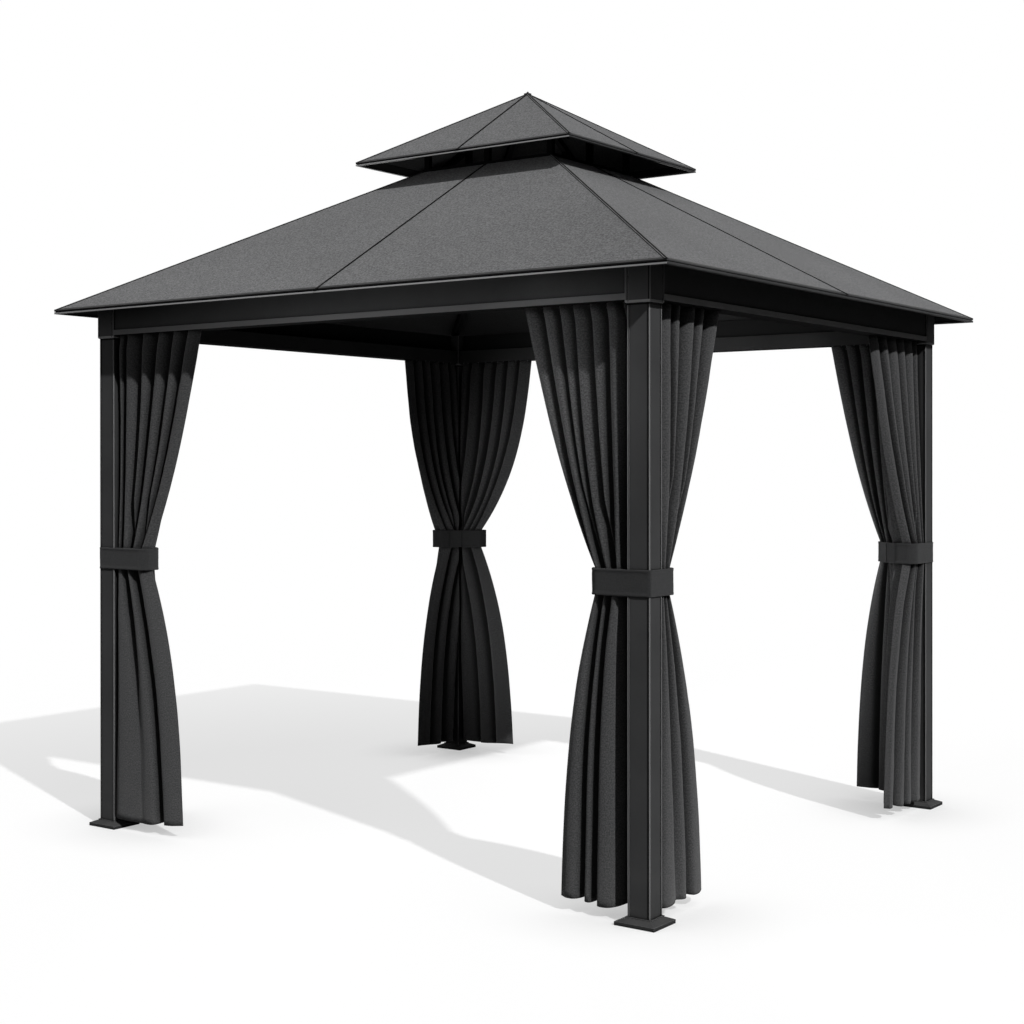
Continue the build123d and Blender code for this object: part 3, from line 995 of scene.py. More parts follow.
@dataclass
class Curtain:
    """One gathered curtain: hung from the track, drawn in by the tie and falling open below it."""

    plan: Plan
    turn: int
    mirrored: bool
    gather: Gather
    waist: float
    other_waist: float
    start: float = 0.0024
    sleeve_clear: float = 0.0085
    sleeve_ramp: tuple[float, float] = (0.05, 0.004)
    waist_clear: float = 0.002
    tie_clear: float = 0.0018
    tie_blend: float = 0.015
    split: float = 0.003
    top_front: float = 0.03
    hem_front: float = 0.055
    top_fold: float = 0.05
    hem_fold: float = 0.075
    end_round: float = 0.04
    end_limit: float = 0.98
    level_limit: float = 0.97
    fall_bulge: float = 0.72
    hem_height: float = 0.04
    hem_rise: float = 0.008
    hem_curve: float = 1.3
    fold_rise: float = 0.005
    hem_wave: float = 0.003
    hem_waves: float = 7.0
    hem_tall: float = 0.045
    edge_hem: float = 0.02
    head_gap: float = 0.0012
    slot_inset: float = 0.01
    round_crest: float = 2.8
    full_fold: float = 0.6
    sway: float = 0.014
    sway_turn: float = 5.0
    sway_end: float = 1.2
    level_jitter: tuple[float, float] = (-0.1, 0.05)
    most_lean: float = 0.2
    lean_gain: float = 3.0
    crumple: tuple[float, float] = (0.003, 0.0012)
    crumple_across: float = 13.0
    crumple_down: float = 2.4
    crumple_finer: float = 2.9
    thickness: float = 0.0028
    columns: int = 170
    rows: int = 120
    row_shares: tuple[float, float, float] = (0.46, 0.1, 0.44)
    row_crowding: float = 1.25
    most_folds: int = 12
    node: str = field(init=False)
    jitter: list[np.ndarray] = field(init=False)
    leans: list[np.ndarray] = field(init=False)
    bends: list[np.ndarray] = field(init=False)

    def __post_init__(self) -> None:
        """Name the node that this curtain stands for, and draw its random values."""
        side, far = SIDES[self.turn], SIDES[(self.turn + 1) % len(SIDES)]
        self.node = f"curtain_{far}_{side}" if self.mirrored else f"curtain_{side}_{far}"
        rng = np.random.default_rng(self.gather.seed)
        most = self.most_folds
        self.jitter = [rng.uniform(*self.level_jitter, (2, most)) for _ in range(2)]
        self.leans = [rng.uniform(-self.most_lean, self.most_lean, most) for _ in range(2)]
        self.bends = [rng.uniform(0.0, 2 * math.pi, most) for _ in range(2)]

    def _fallen(self, height: np.ndarray) -> np.ndarray:
        """Return each height's share of the way from the tie down to the hem."""
        drop = self.plan.tie_bottom - self.hem_height
        return np.clip((self.plan.tie_bottom - height) / drop, 0.0, 1.0)

    def _opening(self, height: np.ndarray) -> tuple[np.ndarray, np.ndarray]:
        """Work out how far the cloth is open at each height.

        Args:
            height: The heights.

        Returns:
            Shares of the full spread above the tie and below it.
        """
        rise = self.plan.track_bottom - self.head_gap - self.plan.tie_top
        above = np.clip((height - self.plan.tie_top) / rise, 0.0, 1.0)
        return bulged(above, self.gather.bulge), bulged(self._fallen(height), self.fall_bulge)

    def _heights(self) -> np.ndarray:
        """Space out the rows, closer together about the tie.

        Returns:
            The row heights from the top down.
        """
        plan = self.plan
        upper, middle, lower = (int(self.rows * share) for share in self.row_shares)
        rise = np.linspace(1.0, 0.0, upper) ** self.row_crowding
        fall = np.linspace(0.0, 1.0, lower) ** self.row_crowding
        return np.concatenate(
            (
                plan.tie_top + (plan.track_bottom - self.head_gap - plan.tie_top) * rise,
                np.linspace(plan.tie_top, plan.tie_bottom, middle)[1:-1],
                plan.tie_bottom + (self.hem_height - plan.tie_bottom) * fall,
            )
        )

    def _columns(self, count: int) -> tuple[np.ndarray, np.ndarray]:
        """Share out the columns, with one on every crease.

        Args:
            count: The number of folds.

        Returns:
            Each column's fold, and how far into the fold it lies.
        """
        steps = np.full(count, (self.columns - 1) // count)
        steps[: (self.columns - 1) % count] += 1
        into = np.concatenate([np.arange(step) / step for step in steps] + [np.ones(1)])
        fold = np.append(np.repeat(np.arange(count), steps), count - 1)
        return fold, 0.5 * into + 0.25 * (1 - np.cos(math.pi * into))

    def _folds(self, part: int, opened: np.ndarray) -> tuple[np.ndarray, np.ndarray]:
        """Work out the folds of the cloth above the tie or below it.

        Args:
            part: 0 above the tie, 1 below it.
            opened: How far each row is open.

        Returns:
            The cloth's place between its deepest and its outermost, from -1 to 1, and its place along the
            spread, from 0 to 1, each by row and column.
        """
        folds = (self.gather.above, self.gather.below)[part]
        count = len(folds)
        fold, into = self._columns(count)
        rise = 1 - np.abs(2 * into - 1) ** self.round_crest
        tied, wide = (np.array(widths) / sum(widths) for widths in zip(*((one.tied, one.open) for one in folds)))
        crests = np.array([one.crest for one in folds]) + self.jitter[part][0][:count]
        last = (self.gather.edge, self.gather.edge)
        creases = np.array([one.crease for one in folds] + [last]) + self.jitter[part][1][: count + 1, None]
        bends = self.bends[part][: count - 1]
        levels, places = [], []
        for share in opened:
            edges = np.concatenate(([0.0], np.cumsum(tied * (1 - share) + wide * share)))
            edges[1:-1] += self.sway * np.sin(self.sway_turn * share + bends) * share * (self.sway_end - share)
            widths = np.diff(edges)
            depth = creases[:, 0] * (1 - share) + creases[:, 1] * share
            valley = depth[fold] * (1 - into) + depth[fold + 1] * into
            swell = np.clip(widths * count / self.full_fold, 0.0, 1.0)[fold]
            lean = self.leans[part][fold] * np.sin(math.pi * into) ** 2 * min(self.lean_gain * share, 1.0)
            levels.append(valley + (crests[fold] - valley) * swell * rise)
            places.append(edges[fold] + widths[fold] * (into + lean))
        level = np.array(levels)
        return -level if self.gather.inward else level, np.array(places)

    def _surface(self) -> tuple[np.ndarray, np.ndarray, np.ndarray]:
        """Work out the hung cloth.

        Returns:
            Distances along from the post, distances out from the middle, and heights, each by row and column.
        """
        plan, gather = self.plan, self.gather
        rows = self._heights()
        above, below = (value[:, None] for value in self._opening(rows))
        opened = np.maximum(above, below)
        wide = self.waist + above * (gather.top_span - self.waist) + below * (gather.hem_span - self.waist)
        ramp = smooth_step(rows, *(plan.sleeve_bottom - under for under in self.sleeve_ramp))
        begin = self.start + self.sleeve_clear * ramp[:, None]
        wide = wide - begin - self.waist_clear * (1 - opened)
        lower = smooth_step(rows, plan.tie_top - self.tie_blend, plan.tie_bottom + self.tie_blend)[:, None]
        upper_level, upper_place = self._folds(0, above[:, 0])
        lower_level, lower_place = self._folds(1, below[:, 0])
        level = np.clip(upper_level * (1 - lower) + lower_level * lower, -self.level_limit, self.level_limit)
        share = upper_place * (1 - lower) + lower_place * lower
        along = begin + wide * share
        rounded = np.clip(1 - self.waist * (1 - share) / self.end_round, 0.0, self.end_limit)
        drop = self.end_round * (1 - np.sqrt(1 - rounded**2))
        top = plan.track_line + self.top_front + gather.forward[0]
        hem = plan.track_line + self.hem_front + gather.forward[1]
        crest = top * above + hem * below + (plan.post_outer - self.tie_clear - drop) * (1 - opened)
        trough = (top - self.top_fold) * above + (hem - self.hem_fold) * below
        inside = plan.post_inner - self.other_waist * (1 - share) + self.tie_clear
        corner = plan.post_inner - along + self.split * (1 + opened)
        inner = np.maximum(trough + inside * (1 - opened), corner)
        out = (crest + inner) / 2 + (crest - inner) / 2 * level
        return along, out, self._drape(rows, share, level)

    def _drape(self, rows: np.ndarray, share: np.ndarray, level: np.ndarray) -> np.ndarray:
        """Lift the hem a little at the free edge and in the deep folds.

        Args:
            rows: The row heights.
            share: Each point's place along the spread.
            level: Each point's place between the deepest and the outermost.

        Returns:
            The heights by row and column.
        """
        wave = self.hem_wave * np.sin(self.hem_waves * share + self.gather.seed)
        lift = self.hem_rise * share**self.hem_curve + self.fold_rise * (1 - level) + wave
        return rows[:, None] + lift * self._fallen(rows)[:, None] ** 2

    def _crumpled(self, points: np.ndarray) -> np.ndarray:
        """Add small uneven creases that run mostly down the cloth.

        Args:
            points: The cloth's points at the front right corner.

        Returns:
            The points, moved in and out.
        """
        opened = np.maximum(*self._opening(points[:, 2]))
        offsets = np.zeros(len(points))
        for number, (x, y, z) in enumerate(points.tolist()):
            x, y = x * self.crumple_across + self.gather.seed, y * self.crumple_across
            place = Vector((x, y, z * self.crumple_down))
            coarse, fine = noise.noise(place), noise.noise(place * self.crumple_finer)
            offsets[number] = self.crumple[0] * coarse + self.crumple[1] * fine
        points[:, 1] += offsets * opened
        return points

    def build(self, finish: bpy.types.Material) -> bpy.types.Object:
        """Make the curtain and put it in place of its solid.

        Args:
            finish: The cloth's material.

        Returns:
            The curtain.
        """
        along, out, height = self._surface()
        rows = along.shape[0]
        points = np.column_stack((self.plan.post_inner - along.ravel(), -out.ravel(), height.ravel()))
        points = self._crumpled(points)
        steps = np.linalg.norm(np.diff(points.reshape(rows, self.columns, 3), axis=1), axis=2)
        run = np.column_stack((np.zeros(rows), np.cumsum(steps, axis=1)))
        wide, long = float(np.median(run[:, -1])), float(height.max() - height.min())
        across = run / run[:, -1:] * wide
        flat = np.column_stack((across.ravel(), height.ravel()))
        points = turned(points, self.turn, self.mirrored)
        piece = mesh_piece(self.node + "_cloth", points, grid_faces(rows, self.columns), flat)
        self._hems(piece, height, across)
        piece.data.materials.append(finish)
        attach(piece, "root")
        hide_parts(self.node)
        LOG.info("%s: %.2f m wide before it was gathered", piece.name, wide)
        return piece

    def _hems(self, piece: bpy.types.Object, height: np.ndarray, across: np.ndarray) -> None:
        """Give the cloth its thickness, doubled along the hem and the free edge.

        Args:
            piece: The curtain.
            height: The heights by row and column.
            across: How far across the flat cloth each point lies.
        """
        group = piece.vertex_groups.new(name="hem")
        hem = (height < height[-1][None, :] + self.hem_tall) | (across > across[:, -1:] - self.edge_hem)
        for mask, weight in ((hem, 1.0), (~hem, 0.5)):
            group.add(np.flatnonzero(mask.ravel()).tolist(), weight, "REPLACE")
        solid = piece.modifiers.new("thickness", "SOLIDIFY")
        solid.thickness = self.thickness
        solid.offset = 0.0
        solid.vertex_group = group.name
        solid.thickness_vertex_group = 0.5

    def hook_points(self) -> np.ndarray:
        """Find where the runners hold the heading, under the track's inner slot.

        Returns:
            Rows of x, y and z.
        """
        along, out, height = self._surface()
        slot = self.plan.track_line - self.slot_inset
        crossing = np.flatnonzero(np.diff(np.sign(out[0] - slot)))
        row = np.column_stack((self.plan.post_inner - along[0, crossing], -out[0, crossing], height[0, crossing]))
        return turned(row, self.turn, self.mirrored)


@dataclass
class RunnerSet:
    """Nylon runners that carry the headings of all the curtains in the track slots."""

    plan: Plan
    stem: float = 0.0014
    profile: tuple[tuple[float, float], ...] = ((1.9, 0.0), (1.9, 0.005), (1.0, 0.0062), (1.0, 0.012))
    seat: float = 0.003
    hang: float = 0.014
    ring: float = 0.0034
    wire: float = 0.0009
    sides: int = 8
    ring_steps: int = 12
    wire_sides: int = 6

    def build(self, curtains: Iterable[Curtain], finish: bpy.types.Material) -> bpy.types.Object:
        """Make every runner in one mesh.

        Args:
            curtains: The curtains to carry.
            finish: The runners' material.

        Returns:
            The runners.
        """
        mesh = bmesh.new()
        heads = [Vector(point) for curtain in curtains for point in curtain.hook_points().tolist()]
        for head in heads:
            self._stem(mesh, head)
            self._ring(mesh, head)
        made = bpy.data.meshes.new("curtain_runners")
        mesh.to_mesh(made)
        mesh.free()
        made.polygons.foreach_set("use_smooth", [True] * len(made.polygons))
        piece = put("curtain_runners", made)
        piece.data.materials.append(finish)
        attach(piece, "root")
        LOG.info("%d curtain runners", len(heads))
        return piece

    @staticmethod
    def _turns(count: int) -> list[float]:
        """Return even angles once round."""
        return np.linspace(0, 2 * math.pi, count, endpoint=False).tolist()

    def _stem(self, mesh: bmesh.types.BMesh, head: Vector) -> None:
        """Add a runner's stem, which hangs from the slot.

        Args:
            mesh: The mesh to add to.
            head: The point of the heading under it.
        """
        top = self.plan.track_bottom + self.seat
        rows = []
        for share, drop in self.profile:
            radius = self.stem * share
            spots = [(radius * math.cos(turn), radius * math.sin(turn)) for turn in self._turns(self.sides)]
            rows.append([mesh.verts.new((head.x + x, head.y + y, top - drop)) for x, y in spots])
        for low, high in zip(rows, rows[1:]):
            for step in range(self.sides):
                mesh.faces.new((low[step - 1], low[step], high[step], high[step - 1]))
        mesh.faces.new(rows[0])
        mesh.faces.new(rows[-1][::-1])

    def _ring(self, mesh: bmesh.types.BMesh, head: Vector) -> None:
        """Add a runner's ring, which goes through the heading.

        Args:
            mesh: The mesh to add to.
            head: The point of the heading above it.
        """
        hoop = []
        for turn in self._turns(self.ring_steps):
            out = Vector((math.cos(turn), 0, math.sin(turn)))
            middle = head + out * self.ring - Vector((0, 0, self.hang))
            angles = self._turns(self.wire_sides)
            spots = [(self.wire * math.cos(angle), self.wire * math.sin(angle)) for angle in angles]
            hoop.append([mesh.verts.new(middle + out * x + Vector((0, y, 0))) for x, y in spots])
        for step, loop in enumerate(hoop):
            before = hoop[step - 1]
            for side in range(self.wire_sides):
                mesh.faces.new((before[side - 1], before[side], loop[side], loop[side - 1]))


@dataclass
class TieBack:
    """Cloth band round a post and its two curtains, hemmed, with its end lapped over inside."""

    plan: Plan
    turn: int
    reach: tuple[float, float]
    seed: int
    thickness: float = 0.0026
    clear: float = 0.0002
    hem: float = 0.008
    hem_swell: float = 0.0007
    hem_end: float = 1.15
    edge_round: float = 0.012
    face_rows: tuple[float, float, int] = (0.2, 0.8, 7)
    back_rows: tuple[float, float, int] = (0.97, 0.03, 5)
    post_bend: float = 0.003
    curtain_bend: float = 0.038
    inner_bend: float = 0.03
    bend_steps: int = 9
    spacing: float = 0.006
    lap: float = 0.075
    lap_clear: float = 0.0004
    pucker: tuple[float, float] = (0.0007, 0.0004)
    pucker_scale: tuple[float, float] = (22.0, 2.2)
    pucker_finer: float = 3.1
    waver: float = 0.0006
    waver_scale: float = 60.0
    middle_inset: float = 0.05
    node: str = field(init=False)

    def __post_init__(self) -> None:
        """Name the node that this band stands for."""
        self.node = "tie_back_" + CORNERS[self.turn]

    def _corners(self, spare: float) -> list[tuple[float, float, float]]:
        """Lay out the band's middle line.

        Args:
            spare: How far the line stands off what the band holds.

        Returns:
            The x and y of each corner with its bend radius.
        """
        outer = self.plan.post_outer + spare
        inner = self.plan.post_inner - spare * (math.sqrt(2) - 1)
        first, second = (self.plan.post_inner - reach - spare for reach in self.reach)
        return [
            (outer, -outer, self.post_bend),
            (first, -outer, self.curtain_bend),
            (first, -inner, self.inner_bend),
            (inner, -second, self.inner_bend),
            (outer, -second, self.curtain_bend),
        ]

    def _line(self, spare: float) -> np.ndarray:
        """Bend the middle line round its corners.

        Args:
            spare: How far the line stands off what the band holds.

        Returns:
            Evenly spaced plan points round the band, from the middle of its inner face.
        """
        corners = self._corners(spare)
        count = len(corners)
        points = [(np.array(corners[3][:2]) + np.array(corners[2][:2])) / 2]
        for number in ((3 + step) % count for step in range(count)):
            radius = corners[number][2]
            here, before, after = (np.array(corners[one % count][:2]) for one in (number, number - 1, number + 1))
            before, after = ((one - here) / np.linalg.norm(one - here) for one in (before, after))
            half = math.acos(np.clip(before @ after, -1, 1)) / 2
            reach = radius / math.tan(half)
            centre = here + (before + after) / np.linalg.norm(before + after) * radius / math.sin(half)
            for share in np.linspace(0, 1, self.bend_steps):
                spot = here + before * reach * (1 - share) + after * reach * share
                points.append(centre + (spot - centre) / np.linalg.norm(spot - centre) * radius)
        path = np.array([*points, points[0]])
        length = run_lengths(path)
        even = np.linspace(0, length[-1], int(length[-1] / self.spacing) + 1)
        return np.column_stack([np.interp(even, length, path[:, axis]) for axis in (0, 1)])

    def _profile(self) -> list[tuple[float, float]]:
        """Draw the band's section.

        Returns:
            Offsets out and shares of the height, round the section's edge.
        """
        half, hem = self.thickness / 2, self.hem / self.plan.tie_height
        swell = half + self.hem_swell
        edge = [(half * 0.5, 0.0), (swell, self.edge_round), (swell, hem), (half, hem * self.hem_end)]
        face = [(half, share) for share in np.linspace(*self.face_rows)]
        far_edge = [(out, 1 - share) for out, share in reversed(edge)]
        return edge + face + far_edge + [(-half, share) for share in np.linspace(*self.back_rows)]

    def _ribbon(self, name: str, line: np.ndarray, close: bool, lift: float) -> bpy.types.Object:
        """Sweep the band's section along a line.

        Args:
            name: The piece's name.
            line: Plan points.
            close: Whether the line joins up with its own start.
            lift: How far the whole section stands out from the line.

        Returns:
            The ribbon.
        """
        path = line[:-1] if close else line
        ahead = np.roll(path, -1, axis=0) - np.roll(path, 1, axis=0) if close else np.gradient(path, axis=0)
        ahead = ahead / np.linalg.norm(ahead, axis=1)[:, None]
        normal = np.column_stack((ahead[:, 1], -ahead[:, 0]))
        middle = np.array((1, -1)) * (self.plan.post_inner - self.middle_inset)
        if ((path[0] - middle) @ normal[0]) < 0:
            normal = -normal
        section, tall = self._profile(), self.plan.tie_height
        points, flat = [], []
        for run, spot, out in zip(run_lengths(path), path, normal):
            for offset, share in section:
                place = Vector((run * self.pucker_scale[0] + self.seed, share * self.pucker_scale[1], 0))
                coarse, fine = noise.noise(place), noise.noise(place * self.pucker_finer)
                x, y = spot + out * (offset + lift + self.pucker[0] * coarse + self.pucker[1] * fine)
                edge = self.waver * noise.noise(Vector((run * self.waver_scale, share, self.seed)))
                points.append((x, y, self.plan.tie_bottom + tall * share + edge))
                flat.append((run, share * tall))
        size = len(section)
        last = len(points) - size
        faces: list[tuple[int, ...]] = list(grid_faces(len(path), size, True))
        if close:
            faces += [(last + step, last + (step + 1) % size, (step + 1) % size, step) for step in range(size)]
        else:
            faces += [tuple(range(size)), tuple(reversed(range(last, len(points))))]
        return mesh_piece(name, turned(np.array(points), self.turn), faces, np.array(flat))

    def build(self, finish: bpy.types.Material) -> list[bpy.types.Object]:
        """Make the band and its lapped end in place of the band's solid.

        Args:
            finish: The band's material.

        Returns:
            The band and the lapped end.
        """
        line = self._line(self.clear + self.thickness / 2)
        band = self._ribbon(self.node + "_band", line, True, 0.0)
        keep = int(self.lap / self.spacing)
        end = self._ribbon(self.node + "_end", line[:keep], False, self.thickness + self.lap_clear)
        for piece in (band, end):
            piece.data.materials.append(finish)
            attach(piece, "root")
        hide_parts(self.node)
        return [band, end]


@dataclass(frozen=True)
class Spot:
    """One soft spot lamp that lifts a sheltered part of the gazebo."""

    name: str
    eye: Place
    aim: Place
    power: float
    cone: float
    blend: float
    soft: float = 0.3

    def build(self) -> None:
        """Make the lamp."""
        lamp = bpy.data.lights.new(self.name, "SPOT")
        lamp.energy = self.power
        lamp.spot_size = math.radians(self.cone)
        lamp.spot_blend = self.blend
        lamp.shadow_soft_size = self.soft
        made = put(self.name, lamp)
        made.location = self.eye
        made.rotation_mode = "QUATERNION"
        made.rotation_quaternion = (Vector(self.aim) - Vector(self.eye)).to_track_quat("-Z", "Y")


@dataclass(frozen=True)
class FarLamp:
    """One lamp as far as the sun, by the direction that it shines from and its apparent width in degrees."""

    name: str
    source: Place
    strength: float
    angle: float

    def build(self) -> None:
        """Make the lamp."""
        lamp = bpy.data.lights.new(self.name, "SUN")
        lamp.energy = self.strength
        lamp.angle = math.radians(self.angle)
        made = put(self.name, lamp)
        made.rotation_mode = "QUATERNION"
        made.rotation_quaternion = Vector(self.source).to_track_quat("Z", "Y")


@dataclass
class Studio:
    """White floor and background, a low sun, soft fills and the photograph's camera."""

    eye: Place = (4.0976, -6.4169, 1.5515)
    yaw: float = 38.537
    pitch: float = 0.109
    roll: float = -0.0008
    lens: float = 59.946
    sensor: float = 36.0
    view_end: float = 300.0
    shift: tuple[float, float] = (0.15875, -0.0423)
    lamps: tuple[FarLamp | Spot, ...] = (
        FarLamp("studio_sun", (0.707, -0.33, 0.625), strength=3.4, angle=1.2),
        FarLamp("studio_fill", (-0.35, -0.88, 0.32), strength=0.5, angle=70.0),
        Spot("studio_back_fill", (0.25, -6.4, 1.1), (0.0, 1.27, 1.05), power=1250.0, cone=21.0, blend=0.5),
        Spot("studio_corner_fill", (-2.4, -6.4, 1.1), (1.0, 1.27, 1.1), power=330.0, cone=17.0, blend=0.7),
        Spot("studio_eave_fill", (0.6, -7.2, 0.25), (0.2, -1.3, 2.55), power=330.0, cone=26.0, blend=1.0),
        Spot("studio_drape_fill", (0.9, -6.5, 1.7), (0.95, -1.3, 1.79), power=1000.0, cone=5.6, blend=0.9),
        Spot("studio_rear_fill", (-5.2, 6.8, 1.0), (-0.1, 0.1, 1.7), power=1900.0, cone=29.0, blend=0.5, soft=0.8),
    )
    sky: float = 0.04
    floor_half: float = 60.0
    floor_drop: float = 0.0004
    floor_colour: Colour = (0.36, 0.36, 0.36)
    bounce_colour: Colour = (0.2, 0.2, 0.2)
    floor_glow: float = 0.72
    fade: tuple[float, float] = (2.2, 9.0)
    # Painted contact shade on the floor near the gazebo: its reach, range and depth.
    contact: float = 0.45
    contact_looks: tuple[float, float] = (0.35, 1.0)
    contact_share: float = 0.62

    def build(self) -> None:
        """Make the floor, the sky, the lamps and the camera."""
        self._floor()
        self._world()
        for lamp in self.lamps:
            lamp.build()
        self._camera()
        bpy.context.scene.view_settings.view_transform = "Standard"
        LOG.info("studio ready")

    @staticmethod
    def _seen(pen: Pen) -> Socket:
        """Find the rays that show the background.

        Args:
            pen: The pen of the floor's or the sky's tree.

        Returns:
            A mask of those rays.
        """
        path = pen.add("LightPath").outputs
        first = pen.sum("MAXIMUM", path["Is Camera Ray"], path["Is Glossy Ray"])
        return pen.sum("MAXIMUM", first, path["Is Transmission Ray"])

    def _floor(self) -> None:
        """Make the floor: white to the camera, fading into the background, with the sun's shadow kept and painted
        contact shade near the gazebo.
        """
        half, level = self.floor_half, -self.floor_drop
        corners = [(-half, -half, level), (half, -half, level), (half, half, level), (-half, half, level)]
        floor = mesh_piece("studio_floor", np.array(corners), [(0, 1, 2, 3)])
        made = bpy.data.materials.new("studio_floor")
        made.use_nodes = True
        made.node_tree.nodes.clear()
        pen = Pen(made.node_tree)
        place = pen.add("NewGeometry").outputs["Position"]
        far = pen.ramp(pen.add("VectorMath", {0: place}, operation="LENGTH").outputs["Value"], *self.fade)
        seen = self._seen(pen)
        # Painted contact shade: the floor's glow dims where the gazebo is close by.
        near = pen.add("AmbientOcclusion", {"Distance": self.contact}, samples=8).outputs["AO"]
        glow = pen.ramp(near, *self.contact_looks, self.floor_glow * self.contact_share, self.floor_glow)
        matt = pen.add("BsdfDiffuse", {"Color": pen.blend(seen, self.bounce_colour, self.floor_colour)})
        shine = pen.add("Emission", {"Strength": pen.sum("MULTIPLY", seen, glow)})
        both = pen.add("AddShader", {0: matt.outputs[0], 1: shine.outputs[0]})
        white = pen.add("Emission", {"Strength": seen})
        mixed = pen.add("MixShader", {0: far, 1: both.outputs[0], 2: white.outputs[0]})
        pen.add("OutputMaterial", {0: mixed.outputs[0]})
        floor.data.materials.append(made)

    def _world(self) -> None:
        """Make the sky: white to the camera, and an even low light on the gazebo."""
        world = bpy.data.worlds.new("studio_sky")
        bpy.context.scene.world = world
        world.use_nodes = True
        world.node_tree.nodes.clear()
        pen = Pen(world.node_tree)
        strength = pen.ramp(self._seen(pen), 0.0, 1.0, self.sky, 1.0)
        sky = pen.add("Background", {"Color": (1, 1, 1, 1), "Strength": strength})
        pen.add("OutputWorld", {0: sky.outputs[0]})

    def _camera(self) -> None:
        """Make the camera at the photograph's angle."""
        yaw, pitch = math.radians(self.yaw), math.radians(self.pitch)
        ahead = Vector((-math.sin(yaw) * math.cos(pitch), math.cos(yaw) * math.cos(pitch), -math.sin(pitch)))
        level = Vector((math.cos(yaw), math.sin(yaw), 0))
        above = level.cross(ahead)
        right = level * math.cos(self.roll) + above * math.sin(self.roll)
        up = above * math.cos(self.roll) - level * math.sin(self.roll)
        data = bpy.data.cameras.new("photo_camera")
        data.sensor_width = self.sensor
        data.lens = self.lens
        data.shift_x, data.shift_y = self.shift
        data.clip_end = self.view_end
        camera = put("photo_camera", data)
        camera.matrix_world = Matrix((right, up, -ahead)).transposed().to_4x4()
        camera.location = self.eye
        bpy.context.scene.camera = camera


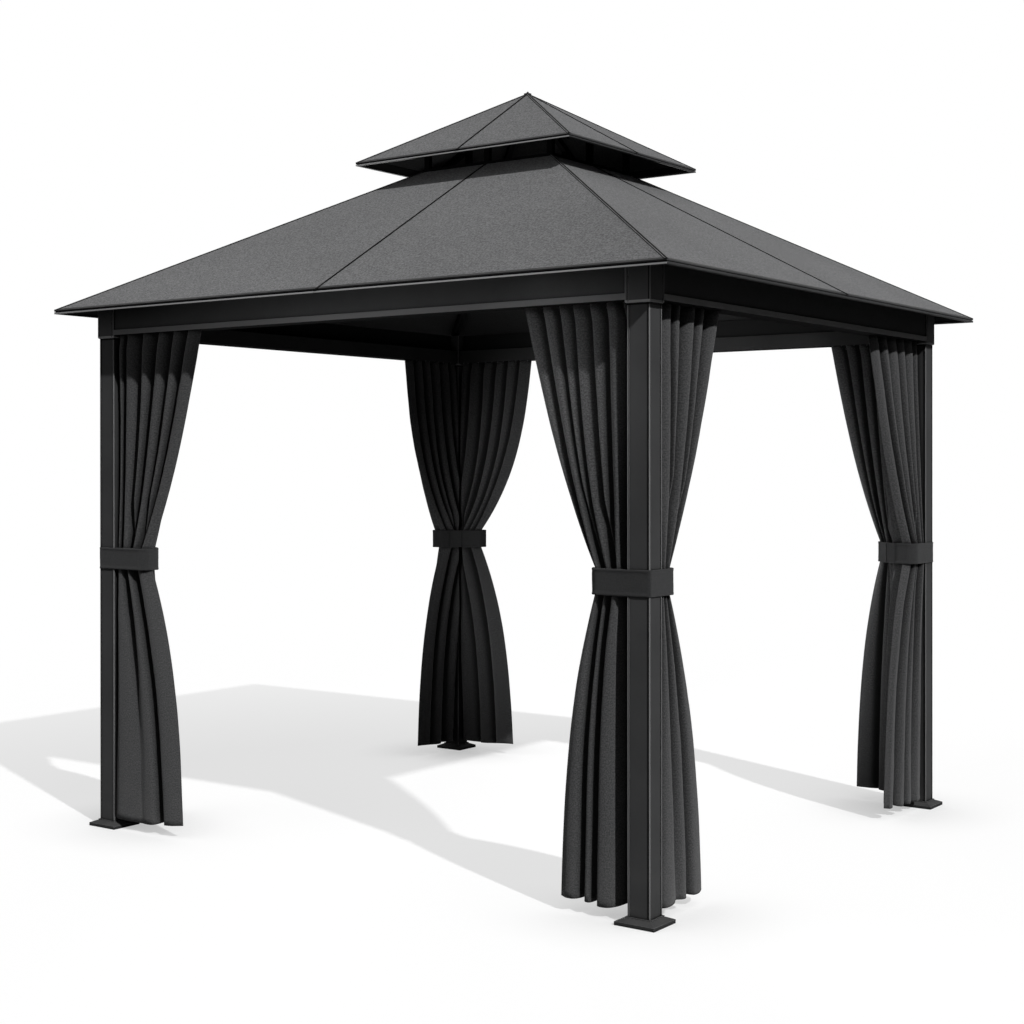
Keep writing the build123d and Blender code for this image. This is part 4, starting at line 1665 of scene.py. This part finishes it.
FIRST_TIE_SEED = 3
CLOSING = (-0.4, -0.9)
BUNDLES = (
    Bundle(
        first=Gather(
            above=(
                Fold(0.17, 0.1, crest=-0.5),
                Fold(0.2, 0.15),
                Fold(0.05, 0.15, CLOSING),
                Fold(0.28, 0.15),
                Fold(0.05, 0.14, CLOSING, 0.8),
                Fold(0.17, 0.17),
                Fold(0.08, 0.14, crest=0.75),
            ),
            below=(
                Fold(0.2, 0.15, crest=-0.5),
                Fold(0.34, 0.37, crest=0.97),
                Fold(0.2, 0.17, crest=0.75),
                Fold(0.26, 0.31, crest=0.9),
            ),
            seed=21,
            top_span=0.435,
            hem_span=0.275,
            edge=0.6,
        ),
        second=Gather(
            above=(
                Fold(0.08, 0.07, crest=-0.3),
                Fold(0.38, 0.21),
                Fold(0.05, 0.17, CLOSING),
                Fold(0.27, 0.19),
                Fold(0.05, 0.17, CLOSING),
                Fold(0.17, 0.19),
            ),
            below=(
                Fold(0.3, 0.4, crest=0.95),
                Fold(0.3, 0.24, (-0.8, 0.55), 0.85),
                Fold(0.4, 0.36, crest=0.9),
            ),
            seed=5,
            top_span=0.515,
            hem_span=0.35,
        ),
        reach=(0.15, 0.104),
    ),
    Bundle(
        first=Gather(
            above=(
                Fold(0.1, 0.1),
                Fold(0.2, 0.17),
                Fold(0.07, 0.16, CLOSING),
                Fold(0.25, 0.18),
                Fold(0.1, 0.17, CLOSING),
                Fold(0.22, 0.18, crest=0.7),
            ),
            below=(
                Fold(0.26, 0.3, crest=0.95),
                Fold(0.24, 0.2, (-0.8, 0.3), 0.8),
                Fold(0.26, 0.26),
                Fold(0.24, 0.24, crest=0.7),
            ),
            seed=33,
            top_span=0.54,
            hem_span=0.4,
            edge=0.1,
        ),
        second=Gather(
            above=(
                Fold(0.14, 0.12),
                Fold(0.22, 0.18),
                Fold(0.08, 0.17, CLOSING),
                Fold(0.26, 0.18),
                Fold(0.08, 0.17, CLOSING),
                Fold(0.22, 0.18),
            ),
            below=(
                Fold(0.3, 0.32),
                Fold(0.3, 0.3, (-0.8, -0.4), 0.85),
                Fold(0.4, 0.38),
            ),
            seed=47,
            top_span=0.37,
            hem_span=0.25,
            inward=True,
        ),
        reach=(0.14, 0.135),
    ),
    Bundle(
        first=Gather(
            above=(
                Fold(0.12, 0.13),
                Fold(0.22, 0.17),
                Fold(0.07, 0.18, CLOSING),
                Fold(0.25, 0.16),
                Fold(0.1, 0.18, (-0.5, -0.9)),
                Fold(0.24, 0.18),
            ),
            below=(
                Fold(0.3, 0.36),
                Fold(0.3, 0.26, (-0.8, -0.5), 0.85),
                Fold(0.4, 0.38),
            ),
            seed=58,
            bulge=0.65,
            inward=True,
        ),
        second=Gather(
            above=(
                Fold(0.14, 0.12),
                Fold(0.1, 0.17, (-0.5, -0.9)),
                Fold(0.28, 0.19),
                Fold(0.08, 0.17, CLOSING),
                Fold(0.22, 0.17),
                Fold(0.18, 0.18),
            ),
            below=(
                Fold(0.26, 0.3),
                Fold(0.34, 0.36),
                Fold(0.4, 0.34, (-0.8, -0.6)),
            ),
            seed=64,
            bulge=0.65,
            inward=True,
        ),
        reach=(0.14, 0.14),
    ),
    Bundle(
        first=Gather(
            above=(
                Fold(0.12, 0.1),
                Fold(0.22, 0.17),
                Fold(0.08, 0.18, CLOSING),
                Fold(0.26, 0.19),
                Fold(0.1, 0.18, CLOSING),
                Fold(0.22, 0.18),
            ),
            below=(
                Fold(0.24, 0.26),
                Fold(0.26, 0.24, (-0.8, -0.2), 0.85),
                Fold(0.24, 0.24),
                Fold(0.26, 0.26, crest=0.85),
            ),
            seed=72,
        ),
        second=Gather(
            above=(
                Fold(0.12, 0.1, crest=0.7),
                Fold(0.3, 0.19),
                Fold(0.06, 0.18, CLOSING),
                Fold(0.25, 0.18),
                Fold(0.06, 0.17, CLOSING),
                Fold(0.21, 0.18),
            ),
            below=(
                Fold(0.3, 0.42, (-0.2, 0.5), 0.97),
                Fold(0.24, 0.28, (-0.7, 0.8), 0.95),
                Fold(0.46, 0.32, crest=0.8),
            ),
            seed=83,
            hem_span=0.39,
            top_span=0.5,
            forward=(0.03, 0.015),
        ),
        reach=(0.14, 0.182),
    ),
)


def main() -> None:
    """Build the studio, dress the solids and hang the curtains."""
    logging.basicConfig(level=logging.INFO, format="%(name)s: %(message)s")
    Studio().build()
    finishes = Finishes(EffectLibrary())
    finishes.dress_solids()
    plan = Plan.from_frame()
    curtains = []
    for turn, bundle in enumerate(BUNDLES):
        for mirrored, gather in ((False, bundle.first), (True, bundle.second)):
            waist, other = bundle.reach[::-1] if mirrored else bundle.reach
            curtain = Curtain(plan, turn, mirrored, gather, waist, other)
            curtain.build(finishes.curtain)
            curtains.append(curtain)
        TieBack(plan, turn, bundle.reach, FIRST_TIE_SEED + turn).build(finishes.tie)
    RunnerSet(plan).build(curtains, finishes.runner)
    bpy.context.view_layer.update()


if __name__ == "__main__":
    main()
